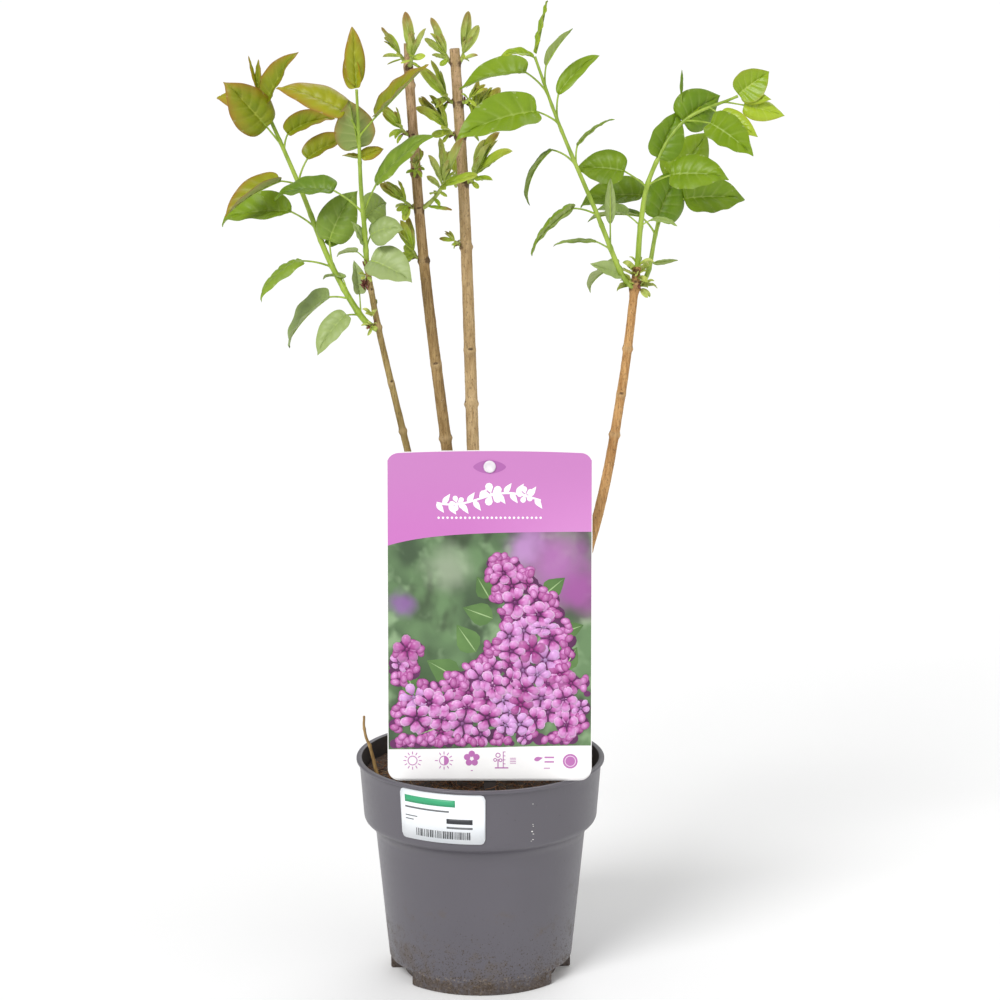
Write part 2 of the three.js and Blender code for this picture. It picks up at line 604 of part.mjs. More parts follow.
// A thin label on the pot's band, its corners rounded.
function makeSticker() {
  const columns = [];
  for (let i = 0; i <= sticker.columns; i += 1) {
    const share = i / sticker.columns;
    const angle = (sticker.from + share * (sticker.to - sticker.from)) * degree;
    const fromEnd = Math.min(share, 1 - share) * (sticker.to - sticker.from) * degree * pot.bandTop;
    const intoCorner = Math.max(sticker.corner - fromEnd, 0);
    const inset = sticker.corner - Math.sqrt(sticker.corner ** 2 - intoCorner ** 2);
    const spot = (height, lift) => {
      const radius = innerRadius(height) + pot.wall + gap + lift;
      return new THREE.Vector3(radius * Math.sin(angle), -radius * Math.cos(angle), height);
    };
    const [low, high] = [sticker.bottom + inset, sticker.top - inset];
    columns.push([spot(low, 0), spot(high, 0), spot(high, sticker.thick), spot(low, sticker.thick)]);
  }
  return solid(skin(columns));
}

// ---- the whole ----

const lilac = new THREE.Group();
const behindCards = -tag.thick - gap;
const stakeFace = 2 * behindCards;

lilac.add(piece("pot", makePot(), colours.pot, 0.55));
lilac.add(piece("compost", makeCompost([placed(makeStake(gap), 0, 0, stakeFace)]), colours.compost, 0.95));
lilac.add(piece("pot_label", makeSticker(), colours.paper, 0.4));

const grownCrown = makeCrown(gap);
lilac.add(piece("crown", makeCrown(), colours.crown));
for (const [name, cane] of Object.entries(canes)) {
  const colour = name === "a" ? colours.olive : colours.cane;
  lilac.add(piece(`cane_${name}`, whole(solid(limb(cane)).subtract(grownCrown)), colour, 0.75));
}
const twig = solid(limb({ ...deadTwig, steps: 5, sides: 6 }));
const [twigX, twigY] = deadTwig.route[0];
const level = solid(new THREE.BoxGeometry(20, 20, 4).translate(twigX, twigY, compost.ledge + gap - 2));
lilac.add(piece("dead_twig", whole(twig.subtract(level)), colours.straw));

for (const [name, shoot] of Object.entries(shoots)) {
  const colour = shoot.from === "a" ? colours.bronze : colours.leaf;
  lilac.add(piece(name, makeShoot(shoot, 8, 6, [0.1, 0.35, 0.7]), colour, 0.6));
}
for (const [name, shoot] of Object.entries(youngShoots)) {
  lilac.add(piece(name, makeShoot(shoot, 3, 5, [0.3, 0.7]), colours.young, 0.6));
}
Object.entries(tufts).forEach(([name, tuft], index) => {
  lilac.add(piece(name, makeTuft(tuft, 101 + 37 * index), colours.young, 0.6));
});

const backCard = makeCard(tag.holeHeight + tag.drop);
lilac.add(stand(piece("tag_card", makeCard(tag.holeHeight), colours.card, 0.35), 0, 0, 0));
lilac.add(stand(piece("tag_back", backCard, colours.paper, 0.4), 0, -tag.drop, behindCards));
lilac.add(stand(piece("tag_stake", makeStake(), colours.paper, 0.4), 0, 0, stakeFace));
lilac.add(stand(piece("tag_button", makeButton(), colours.paper, 0.4), 0, tag.holeHeight, tag.thick));

export default lilac;
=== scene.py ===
import math
import random

import bpy
import numpy as np
from mathutils import Matrix, Vector, noise


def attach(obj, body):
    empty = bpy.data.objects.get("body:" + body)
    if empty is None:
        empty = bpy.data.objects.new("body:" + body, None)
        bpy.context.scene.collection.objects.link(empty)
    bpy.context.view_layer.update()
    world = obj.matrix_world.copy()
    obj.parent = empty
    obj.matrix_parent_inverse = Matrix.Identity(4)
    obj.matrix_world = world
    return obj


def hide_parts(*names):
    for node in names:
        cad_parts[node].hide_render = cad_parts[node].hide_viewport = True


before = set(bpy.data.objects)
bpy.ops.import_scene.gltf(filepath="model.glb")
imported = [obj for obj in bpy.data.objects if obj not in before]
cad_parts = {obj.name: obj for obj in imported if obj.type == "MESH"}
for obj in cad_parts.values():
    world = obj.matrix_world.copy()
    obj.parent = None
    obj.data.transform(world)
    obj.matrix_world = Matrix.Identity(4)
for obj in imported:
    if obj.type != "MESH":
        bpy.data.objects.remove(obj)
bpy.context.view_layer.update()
metre = 0.001
print("frame:", len(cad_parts), "nodes")


# Node trees: one class for a tree, one for a wire in it.

def pick(sockets, name):
    if isinstance(name, int):
        return sockets[name]
    return next(s for s in sockets if name in (s.identifier, s.name))


def maths(operation, reflected=False):
    def join(wire, other):
        first, second = (other, wire) if reflected else (wire, other)
        return wire.graph.add("ShaderNodeMath", {"operation": operation}, {0: first, 1: second})
    return join


class Wire:
    __add__, __radd__ = maths("ADD"), maths("ADD", True)
    __sub__, __rsub__ = maths("SUBTRACT"), maths("SUBTRACT", True)
    __mul__, __rmul__ = maths("MULTIPLY"), maths("MULTIPLY", True)
    __truediv__, __pow__ = maths("DIVIDE"), maths("POWER")

    def __init__(self, graph, socket):
        self.graph = graph
        self.socket = socket

    def over(self, low, high):
        # 0 below low, 1 above high, smooth between
        return self.graph.add("ShaderNodeMapRange", {"interpolation_type": "SMOOTHSTEP"},
                              {"Value": self, "From Min": low, "From Max": high})


class Graph:
    def __init__(self, tree):
        self.tree = tree

    def add(self, kind, settings=None, sockets=None, output=0):
        node = self.tree.nodes.new(kind)
        for name, value in (settings or {}).items():
            setattr(node, name, value)
        for name, value in (sockets or {}).items():
            self.feed(pick(node.inputs, name), value)
        return Wire(self, pick(node.outputs, output))

    def feed(self, socket, value):
        if isinstance(value, Wire):
            self.tree.links.new(value.socket, socket)
        else:
            socket.default_value = value


class Finish(Graph):
    # A material on Object coordinates, given in millimetres
    def __init__(self, name, **fixed):
        self.material = bpy.data.materials.new(name)
        self.material.use_nodes = True
        super().__init__(self.material.node_tree)
        self.shader = self.tree.nodes["Principled BSDF"]
        for socket, value in fixed.items():
            self.shader.inputs[socket.replace("_", " ")].default_value = value
        self.place = self.add("ShaderNodeTexCoord", output="Object")

    def give(self, socket, value):
        self.feed(self.shader.inputs[socket], value)

    def cloud(self, size, detail=3.0, stretch=(1, 1, 1), rough=0.5):
        scale = [1 / metre / size / s for s in stretch]
        place = self.add("ShaderNodeMapping", {}, {"Vector": self.place, "Scale": scale})
        return self.add("ShaderNodeTexNoise", {},
                        {"Vector": place, "Scale": 1.0, "Detail": detail, "Roughness": rough})

    def axis(self, name):
        # one Object coordinate, in millimetres
        return self.add("ShaderNodeSeparateXYZ", {}, {"Vector": self.place}, name) / metre

    def mark(self, name):
        return self.add("ShaderNodeAttribute", {"attribute_name": name}, {}, "Fac")

    def blend(self, mask, one, other):
        # colours are wires or "#rrggbb"
        sockets = {"Factor_Float": mask, "A_Color": paint(one), "B_Color": paint(other)}
        return self.add("ShaderNodeMix", {"data_type": "RGBA"}, sockets, "Result_Color")

    def coats(self, base, *layers):
        # each layer a mask and a colour, the last on top
        for mask, colour in layers:
            base = self.blend(mask, base, colour)
        self.give("Base Color", base)

    def relief(self, height, depth, strength):
        # depth in millimetres
        self.give("Normal", self.add("ShaderNodeBump", {}, {
            "Height": height, "Distance": depth * metre, "Strength": strength}))


def paint(colour):
    if isinstance(colour, Wire):
        return colour
    parts = [int(colour[i:i + 2], 16) / 255 for i in (1, 3, 5)]
    return tuple(p / 12.92 if p < 0.04045 else ((p + 0.055) / 1.055) ** 2.4 for p in parts) + (1.0,)


# Pieces.

class Bundle:
    # Small shapes that are joined into one piece, with a number or two for each point
    def __init__(self, *marks):
        self.points = []
        self.faces = []
        self.kinds = []
        self.marks = {name: [] for name in marks}

    def add(self, points, faces, kinds=0, **marks):
        start = len(self.points)
        self.points.extend(points)
        self.faces.extend(tuple(start + i for i in face) for face in faces)
        self.kinds.extend(kinds if isinstance(kinds, list) else [kinds] * len(faces))
        for name, values in self.marks.items():
            given = marks.get(name, 0.0)
            values.extend(given if isinstance(given, list) else [given] * len(points))


def meshOf(name, points, faces, edges=()):
    # points in millimetres, the mesh in metres
    mesh = bpy.data.meshes.new(name)
    mesh.from_pydata((np.array([tuple(p) for p in points]) * metre).tolist(), edges, faces)
    return mesh


def putIn(name, data):
    thing = bpy.data.objects.new(name, data)
    bpy.context.scene.collection.objects.link(thing)
    return thing


def standOn(piece, stands):
    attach(piece, "root")
    if stands:
        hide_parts(*stands)
    print(piece.name, len(piece.data.polygons), "faces")
    return piece


def dress(node, finish):
    # a frame node keeps its shape and gets a finish
    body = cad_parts[node]
    body.data.materials.clear()
    body.data.materials.append(finish.material)


def addPiece(name, bundle, finishes, stands=(), smooth=True, film=0):
    mesh = meshOf(name, bundle.points, bundle.faces)
    for finish in finishes:
        mesh.materials.append(finish.material)
    mesh.polygons.foreach_set("material_index", bundle.kinds)
    mesh.polygons.foreach_set("use_smooth", [smooth] * len(bundle.faces))
    for mark, values in bundle.marks.items():
        mesh.attributes.new(mark, "FLOAT", "POINT").data.foreach_set("value", values)
    if "edge" in bundle.marks:          # a leaf's rim is sharp
        ends = np.zeros(len(mesh.edges) * 2, int)
        mesh.edges.foreach_get("vertices", ends)
        rims = (np.array(bundle.marks["edge"])[ends.reshape(-1, 2)] > 0.999).all(axis=1)
        mesh.attributes.new("sharp_edge", "BOOLEAN", "EDGE").data.foreach_set("value", rims)
    piece = putIn(name, mesh)
    if film:                            # a sheet of ink or foil gets a thickness
        solid = piece.modifiers.new("film", "SOLIDIFY")
        solid.thickness = film * metre
        solid.offset = 1
    return standOn(piece, stands)


def recipe(name, inputs):
    # A Geometry Nodes tree with named inputs; returns its graph and its input wires
    tree = bpy.data.node_groups.new(name, "GeometryNodeTree")
    tree.interface.new_socket("Geometry", in_out="INPUT", socket_type="NodeSocketGeometry")
    tree.interface.new_socket("Geometry", in_out="OUTPUT", socket_type="NodeSocketGeometry")
    for title, kind in inputs.items():
        tree.interface.new_socket(title, in_out="INPUT", socket_type="NodeSocket" + kind)
    graph = Graph(tree)
    start = tree.nodes.new("NodeGroupInput")
    return graph, {s.name: Wire(graph, s) for s in start.outputs if s.name}


def finishRecipe(graph, geometry, material):
    joined = graph.add("GeometryNodeRealizeInstances", {}, {"Geometry": geometry})
    smooth = graph.add("GeometryNodeSetShadeSmooth", {}, {"Geometry": joined})
    done = graph.add("GeometryNodeSetMaterial", {}, {"Geometry": smooth, "Material": material})
    end = graph.tree.nodes.new("NodeGroupOutput")
    graph.feed(end.inputs["Geometry"], done)
    return graph.tree


def cook(name, mesh, tree, values, stands=()):
    # Runs a recipe on a mesh and keeps the plain mesh that comes out
    source = putIn(name + "Source", mesh)
    modifier = source.modifiers.new("recipe", "NODES")
    modifier.node_group = tree
    for item in tree.interface.items_tree:
        if item.in_out == "INPUT" and item.name in values:
            modifier[item.identifier] = values[item.name]
    graph = bpy.context.evaluated_depsgraph_get()
    made = bpy.data.meshes.new_from_object(source.evaluated_get(graph), depsgraph=graph)
    made.name = name
    source.modifiers.remove(modifier)
    bpy.data.objects.remove(source)
    return standOn(putIn(name, made), stands)


def sweepTree():
    # Tubes along lines, as thick as the lines' girth
    graph, wires = recipe("sweep", {"Sides": "Int", "Finish": "Material"})
    lines = graph.add("GeometryNodeMeshToCurve", {}, {"Mesh": wires["Geometry"]})
    girth = graph.add("GeometryNodeInputNamedAttribute", {"data_type": "FLOAT"}, {"Name": "girth"})
    ring = graph.add("GeometryNodeCurvePrimitiveCircle", {}, {"Resolution": wires["Sides"], "Radius": 1.0})
    tubes = graph.add("GeometryNodeCurveToMesh", {},
                      {"Curve": lines, "Profile Curve": ring, "Scale": girth, "Fill Caps": True})
    return finishRecipe(graph, tubes, wires["Finish"])


def sweepPiece(name, lines, finish, sides, stands=()):
    # lines: a list of (points, radii)
    points = [p for line, _ in lines for p in line]
    edges = []
    start = 0
    for line, _ in lines:
        edges += [(i, i + 1) for i in range(start, start + len(line) - 1)]
        start += len(line)
    mesh = meshOf(name + "Lines", points, [], edges)
    girths = [g * metre for _, radii in lines for g in radii]
    mesh.attributes.new("girth", "FLOAT", "POINT").data.foreach_set("value", girths)
    return cook(name, mesh, sweep, {"Sides": sides, "Finish": finish.material}, stands)


def scatterTree():
    # Copies of one item over a surface, turned and sized by chance
    graph, wires = recipe("scatter", {
        "Item": "Object", "Density": "Float", "Smallest": "Float", "Largest": "Float", "Tilt": "Float",
        "Seed": "Int", "Finish": "Material",
    })
    seed = wires["Seed"]
    spots = graph.add("GeometryNodeDistributePointsOnFaces", {},
                      {"Mesh": wires["Geometry"], "Density": wires["Density"], "Seed": seed})
    facing = Wire(graph, spots.socket.node.outputs["Rotation"])
    item = graph.add("GeometryNodeObjectInfo", {}, {"Object": wires["Item"]}, "Geometry")
    lean = graph.add("ShaderNodeCombineXYZ", {}, {"X": wires["Tilt"], "Y": wires["Tilt"], "Z": 3.1416})
    less = graph.add("ShaderNodeVectorMath", {"operation": "SCALE"}, {0: lean, "Scale": -1.0})
    turn = graph.add("FunctionNodeRandomValue", {"data_type": "FLOAT_VECTOR"},
                     {"Min": less, "Max": lean, "Seed": seed}, "Value")
    size = graph.add("FunctionNodeRandomValue", {"data_type": "FLOAT"},
                     {"Min_001": wires["Smallest"], "Max_001": wires["Largest"], "Seed": seed}, "Value_001")
    placed = graph.add("GeometryNodeInstanceOnPoints", {},
                       {"Points": spots, "Instance": item, "Scale": size, "Rotation": facing})
    placed = graph.add("GeometryNodeRotateInstances", {}, {"Instances": placed, "Rotation": turn})
    return finishRecipe(graph, placed, wires["Finish"])


sweep = sweepTree()
scatter = scatterTree()


def scatterPiece(name, host, item, finish, slot, density, smallest, largest, tilt, seed):
    # host is a mesh in metres; item a Bundle in millimetres; density in pieces per square metre
    thing = putIn(name + "Item", meshOf(name + "Item", item.points, item.faces))
    values = {"Item": thing, "Finish": finish.material, "Density": density, "Smallest": smallest,
              "Largest": largest, "Tilt": tilt, "Seed": seed}
    cook(name, host, scatter, values)
    bpy.data.objects.remove(thing)


# Faces, angles and shares that many pieces use.

def between(low, high, share):
    return low + share * (high - low)


def turnsOf(count):
    return [2 * math.pi * k / count for k in range(count)]


def wayOf(turn):
    return Vector((math.cos(turn), math.sin(turn), 0))


def onCircle(centre, radius, turn):
    return centre[0] + radius * math.cos(turn), centre[1] + radius * math.sin(turn)


def girdle(here, there, sides):
    # the faces between two rings of points, given by the first point of each
    return [(here + k, here + (k + 1) % sides, there + (k + 1) % sides, there + k) for k in range(sides)]


def tubeFaces(rings, sides):
    # the sides of a tube of many rings, then its two ends
    faces = [face for i in range(rings - 1) for face in girdle(i * sides, (i + 1) * sides, sides)]
    return faces + [tuple(range(sides - 1, -1, -1)), tuple(range((rings - 1) * sides, rings * sides))]


def strand(spots, girth):
    # a three-sided thread through a few spots, to be scattered
    sides = 3
    line = [Vector(s) for s in spots]
    last = len(line) - 1
    points = []
    for i, centre in enumerate(line):
        along = (line[min(i + 1, last)] - line[max(i - 1, 0)]).normalized()
        side = along.cross(Vector((0.13, 1, 0.07))).normalized()
        other = along.cross(side)
        points += [centre + (side * math.cos(t) + other * math.sin(t)) * girth for t in turnsOf(sides)]
    bundle = Bundle()
    bundle.add(points, tubeFaces(len(line), sides))
    return bundle


def addLump(bundle, centre, reach, rows, sides, seed):
    # a knobby pebble
    points = [centre - Vector((0, 0, reach[2]))]
    for i in range(1, rows):
        tall = math.pi * i / rows
        for turn in turnsOf(sides):
            way = Vector((math.sin(tall) * math.cos(turn), math.sin(tall) * math.sin(turn), -math.cos(tall)))
            swell = 1 + 0.35 * noise.noise(way * 1.7 + Vector((seed, 0, 0)))
            points.append(centre + Vector(w * r * swell for w, r in zip(way, reach)))
    points.append(centre + Vector((0, 0, reach[2])))
    last = len(points) - 1
    faces = []
    for k in range(sides):
        after = (k + 1) % sides
        faces += [(0, 1 + after, 1 + k), (last, last - sides + k, last - sides + after)]
    for i in range(rows - 2):
        faces += girdle(1 + i * sides, 1 + (i + 1) * sides, sides)
    bundle.add(points, faces)


# Camera, floor and light. Each light has its place, its power and its width in degrees.
studio = {
    "eye": (11.88, -2200, 800), "down": 12.99, "lens": 136.4, "floor": 30000, "sky": 0.47,
    "key": ((-900, -1500, 1500), 1.95, 26), "fill": ((1600, -1300, 700), 0.6, 70),
    "rim": ((500, 1500, 1500), 0.7, 40),
}


def makeStudio():
    scene = bpy.context.scene
    scene.view_settings.view_transform = "Standard"
    scene.camera = putIn("camera", bpy.data.cameras.new("camera"))
    scene.camera.data.lens = studio["lens"]
    scene.camera.location = Vector(studio["eye"]) * metre
    scene.camera.rotation_euler = (math.radians(90 - studio["down"]), 0, 0)
    for name in ("key", "fill", "rim"):
        place, power, wide = studio[name]
        light = putIn(name, bpy.data.lights.new(name, "SUN"))
        light.data.angle = math.radians(wide)
        light.data.energy = power
        light.location = Vector(place) * metre
        light.rotation_euler = (-Vector(place)).to_track_quat("-Z", "Y").to_euler()
    scene.world = bpy.data.worlds.new("studio")
    scene.world.use_nodes = True
    sky = scene.world.node_tree.nodes["Background"]
    sky.inputs["Color"].default_value = (1, 1, 1, 1)
    sky.inputs["Strength"].default_value = studio["sky"]
    half = studio["floor"]
    corners = [(-half, -half, 0), (half, -half, 0), (half, half, 0), (-half, half, 0)]
    floor = putIn("floor", meshOf("floor", corners, [(0, 1, 2, 3)]))
    paper = Finish("floorPaper", Roughness=0.9)
    paper.coats("#f7f7f7", (paper.cloud(400), "#fdfdfd"))
    floor.data.materials.append(paper.material)


makeStudio()
print("studio")


# Finishes.

def potFinish():
    plastic = Finish("potPlastic", Specular_IOR_Level=0.6)
    height = plastic.axis("Z")
    low = 1 - height.over(2, 75)
    left = 1 - plastic.axis("X").over(-60, 10)
    foot = 1 - height.over(7, 12)
    seam = height.over(7.5, 9.5) * (1 - height.over(9.5, 12.5))
    inside = plastic.mark("inside")
    rough = plastic.cloud(16, 5, rough=0.7)
    scuff = plastic.cloud(14, 6, (0.35, 0.35, 1.6), 0.75).over(0.62, 0.8)
    smear = (rough + low * 0.16 + left * low * 0.1).over(0.62, 0.8)
    dirt = (plastic.cloud(1.1, 3, rough=0.7) + low * 0.17 + rough * 0.12).over(0.76, 0.83)
    blot = (plastic.cloud(3.4, 4, rough=0.65) + low * 0.07 + left * 0.03).over(0.73, 0.79)
    soiled = (plastic.cloud(4, 5, rough=0.7) * foot).over(0.3, 0.56)
    crumbs = plastic.cloud(1.7, 4, rough=0.75).over(0.52, 0.64) * (foot * 0.6 + seam)
    crust = inside * plastic.cloud(5, 5, rough=0.7).over(0.3, 0.6)
    # the inside mark paints the pot's inner wall near-black: partly painted shade where the wall lies in
    # shadow, partly dirt; the brown crust over it is dirt
    plastic.coats(
        "#555259", (plastic.cloud(70, 2), "#5f5c64"), (scuff * 0.35, "#8d8a90"), (smear * 0.5, "#5f5345"),
        (dirt * 0.8, "#40301f"), (blot * 0.7, "#55412b"),
        (plastic.cloud(1.7, 3).over(0.71, 0.76) * 0.6, "#3c332c"), (soiled * 0.65, "#47382b"),
        (crumbs * 0.5, "#a08e78"), (inside * 0.95, "#1f1b1a"), (crust * 0.5, "#34261a"))
    plastic.give("Roughness", 0.3 + smear * 0.2 + dirt * 0.3 + inside * 0.35 + plastic.cloud(3, 3) * 0.14)
    plastic.relief(dirt * 0.6 + blot * 0.5 + soiled * 0.5 + plastic.cloud(0.7, 2) * 0.12, 0.25, 0.6)
    return plastic


def barkFinish(name, pale, mid, deep):
    bark = Finish(name, Specular_IOR_Level=0.25)
    streak = bark.cloud(1.1, 5, (1, 1, 9), 0.65)
    patch = bark.cloud(8, 4, (1, 1, 3)).over(0.42, 0.72)
    high = bark.axis("Z").over(420, 540)
    fleck = bark.cloud(0.6, 3, (1, 1, 2.5), 0.6).over(0.56, 0.66)
    crust = (bark.mark("crust") + bark.cloud(1.6, 4, rough=0.7) * 0.9).over(0.72, 1.1)
    bark.coats(
        mid, (streak.over(0.36, 0.62), pale), (patch * 0.6, deep),
        (high * streak.over(0.3, 0.7) * 0.8, "#cba888"), (fleck * 0.6, "#4c3826"),
        (bark.mark("collar") * 0.45, "#c4aa80"), (bark.mark("scar").over(0.25, 0.8) * 0.85, "#3b271a"),
        (crust * 0.8, "#46301f"))
    bark.give("Roughness", 0.62 + streak * 0.2)
    bark.relief(streak + fleck * 0.5, 0.35, 0.7)
    return bark


def plainFinish(name, one, other, size, roughness, depth=0.0, stretch=(1, 1, 1)):
    # two close colours in soft patches, with a fine grain
    finish = Finish(name)
    patch = finish.cloud(size, 4, stretch, 0.6)
    finish.coats(one, (patch.over(0.3, 0.7), other))
    finish.give("Roughness", roughness + patch * 0.15)
    if depth:
        finish.relief(patch, depth, 0.6)
    return finish


def leafFinish(name, deep, light, vein, edge, edgeShare, tip=None, roughness=0.3, flush=None):
    # bloom greys a leaf all over, or tints its tip where a tip colour is given
    leaf = Finish(name, Specular_IOR_Level=0.3)
    bloom, along, rim = leaf.mark("bloom"), leaf.mark("along"), leaf.mark("edge")
    layers = [((leaf.mark("tone") * 0.6 + leaf.cloud(11, 3) * 0.6).over(0.1, 1.0), light)]
    layers.append((along.over(0.4, 1.0) * bloom, tip) if tip else (bloom, "#adbb84"))
    if flush:
        warm = rim ** 2.0 * 0.6 + along * 0.5 + leaf.cloud(7, 3) * 0.9 - 0.55
        layers.append((warm.over(0.1, 1.0) * 0.6, flush))
    leaf.coats(deep, *layers, (rim ** 12.0 * edgeShare, edge), (leaf.mark("vein") ** 2.2 * 0.62, vein))
    leaf.give("Roughness", roughness + leaf.cloud(5, 2) * 0.2)
    leaf.relief(leaf.cloud(1.6, 3, rough=0.6), 0.3, 0.5)
    return leaf


potPlastic = potFinish()
soil = plainFinish("soil", "#1f1610", "#3f2b1c", 3.5, 0.8, 1.2)
fibre = plainFinish("fibre", "#5c3a20", "#a06c3c", 9, 0.75)
paleFibre = plainFinish("paleFibre", "#8d6a3e", "#b89360", 9, 0.7)
crumb = plainFinish("crumb", "#2c1d13", "#6a452a", 4, 0.85, 0.4)
barks = {
    "a": barkFinish("oliveBark", "#a8925e", "#8a7442", "#6f5c34"),
    "b": barkFinish("brownBark", "#a88c5e", "#866a40", "#6f5430"),
    "c": barkFinish("paleBark", "#ccb084", "#ab8e62", "#93754a"),
    "d": barkFinish("tawnyBark", "#cfa36c", "#ad7f4c", "#94683a"),
}
lenticelFinish = plainFinish("lenticel", "#b89c76", "#8d7150", 3, 0.75)
cutWood = plainFinish("cutWood", "#b79d76", "#8d7050", 1.2, 0.8, 0.2)
straw = plainFinish("straw", "#8f6f42", "#b9985f", 2.2, 0.6, 0.15, (1, 1, 5))
greenStem = plainFinish("greenStem", "#7f9a28", "#a6bd48", 5, 0.3, 0.05, (1, 1, 6))
youngStem = plainFinish("youngStem", "#96a644", "#b6c466", 4, 0.4)
greenTop = leafFinish("greenTop", "#597b0c", "#829e1a", "#b0c468", "#7c8c26", 0.25)
greenUnder = leafFinish("greenUnder", "#7c9044", "#9cae60", "#bccb8e", "#84984f", 0.2, roughness=0.5)
bronzeTop = leafFinish("bronzeTop", "#6a7e06", "#9fa01a", "#bcc252", "#8c4a20", 0.65, flush="#a67c2a")
bronzeUnder = leafFinish("bronzeUnder", "#80934c", "#a0a560", "#bcc27c", "#986038", 0.5, roughness=0.45,
                         flush="#ab8c4c")
limeTop = leafFinish("limeTop", "#78980e", "#a8be30", "#ccda74", "#a8962e", 0.45, roughness=0.2)
limeUnder = leafFinish("limeUnder", "#94ab3c", "#b4c660", "#cfdb92", "#a08c3c", 0.4, roughness=0.42)
youngTop = leafFinish("youngTop", "#8fb020", "#bccc48", "#ccd878", "#c4cc7c", 0.5, "#8c5630")
youngUnder = leafFinish("youngUnder", "#98ad42", "#bac866", "#d0d894", "#ccd490", 0.5, "#94603a", 0.42)
maroonScale = plainFinish("maroonScale", "#5e2c26", "#8a5240", 2.0, 0.6)
greenScale = plainFinish("greenScale", "#98ac3e", "#ccd074", 3.0, 0.5)
print("finishes")


# Curves.

class Route:
    # A smooth curve through points, measured along its length
    def __init__(self, places, steps=120):
        points = [Vector(p) for p in places]
        points = [points[0] * 2 - points[1], *points, points[-1] * 2 - points[-2]]
        self.points = []
        for i in range(1, len(points) - 2):
            before, start, end, after = points[i - 1:i + 3]
            pairs = ((before, start), (start, end), (end, after))
            spans = [max((b - a).length ** 0.5, 1e-4) for a, b in pairs]
            out = self.slope(before, start, end, spans[0], spans[1]) * spans[1]
            into = self.slope(start, end, after, spans[1], spans[2]) * spans[1]
            for k in range(steps):
                t = k / steps
                self.points.append(start + out * t + (end * 3 - start * 3 - out * 2 - into) * t ** 2
                                   + (start * 2 - end * 2 + out + into) * t ** 3)
        self.points.append(points[-2])
        self.far = [0.0]
        for one, other in zip(self.points, self.points[1:]):
            self.far.append(self.far[-1] + (other - one).length)
        self.length = self.far[-1]

    def slope(self, a, b, c, first, second):
        return (b - a) / first - (c - a) / (first + second) + (c - b) / second

    def find(self, share):
        far = min(max(share, 0), 1) * self.length
        i = int(np.searchsorted(self.far, far, "right")) - 1
        i = min(max(i, 0), len(self.points) - 2)
        return i, (far - self.far[i]) / max(self.far[i + 1] - self.far[i], 1e-9)

    def at(self, share):
        i, part = self.find(share)
        return self.points[i].lerp(self.points[i + 1], part)

    def along(self, share):
        return (self.at(min(share + 0.01, 1)) - self.at(max(share - 0.01, 0))).normalized()

    def atHeight(self, height):
        low, high = 0.0, 1.0
        for _ in range(20):
            middle = (low + high) / 2
            if self.at(middle).z < height:
                low = middle
            else:
                high = middle
        return (low + high) / 2

    def farAt(self, height):
        return self.atHeight(height) * self.length


# The pot. Its drains are turns in degrees, each with a raised foot that spreads to both sides.
pot = {
    "height": 134, "rim": 75, "lip": 1.9, "bandTop": 73.2, "bandFoot": 70.6, "bandDepth": 35, "shoulder": 5,
    "wallTop": 64, "wallFoot": 55.6, "foot": 54.8, "footHeight": 9.5, "wall": 1.6, "floor": 2, "turns": 216,
    "drains": (-156, -20, 88), "spread": 35, "drainIn": 46.5, "sag": 0.12, "innerRows": 13,
}
band = pot["height"] - pot["bandDepth"]
wallHeight = band - pot["shoulder"]


def innerRadius(height):
    if height < band:
        return between(pot["wallFoot"], pot["wallTop"], height / wallHeight) - pot["wall"]
    return between(pot["bandFoot"], pot["bandTop"], (height - band) / pot["bandDepth"]) - pot["wall"]


def potProfile(drained):
    # radius and height from the middle of the underside, up the outside and down the inside
    inner, foot, top, rim, wall = (pot[size] for size in ("drainIn", "foot", "height", "rim", "wall"))
    low, lip, corner = pot["footHeight"], top - pot["lip"], pot["shoulder"]
    if drained:
        under = [(0, 0), (44, 0), (inner - 0.4, 0), (inner, 0.6), (inner, low - 0.6), (inner + 0.6, low)]
    else:
        under = [(0, 0), (44, 0), (inner, 0), (foot - 0.9, 0), (foot, 0.9), (foot, low - 0.7)]
    outside = [(pot["wallFoot"] - 0.3, low), (pot["wallFoot"], low + 0.4)]
    outside += [(between(pot["wallFoot"], pot["wallTop"], i / 12), between(low, wallHeight, i / 12))
                for i in range(1, 12)]
    outside += [(pot["bandFoot"] - corner * (1 - math.cos(a)), band - corner * math.sin(a))
                for a in (math.radians(d) for d in (90, 78, 64, 48, 32, 16, 0))]
    outside += [(between(pot["bandFoot"], pot["bandTop"], s), between(band, lip, s))
                for s in (0.08, 0.3, 0.55, 0.8, 0.985)]
    mouth = innerRadius(top)
    edge = [(pot["bandTop"] + 0.15, lip), (rim - 0.35, lip + 0.1), (rim, lip + 0.45), (rim, top - 0.55),
            (rim - 0.2, top - 0.15), (rim - 0.6, top), (mouth + 0.5, top), (mouth + 0.1, top - 0.2),
            (mouth, top - 0.6)]
    within = [(innerRadius(z), z) for z in (126, 116, 106, band + 0.5)]
    within += [(innerRadius(band) - 1.4, wallHeight + 2.2 * wall)]
    within += [(innerRadius(wallHeight), wallHeight + wall)]
    within += [(innerRadius(z), z) for z in (60, 30, 11.4)]
    raised = low + wall if drained else pot["floor"]
    bottom = [(inner - wall, raised), (inner - wall - 0.3, pot["floor"]), (0, pot["floor"])]
    return under + outside + edge + within + bottom


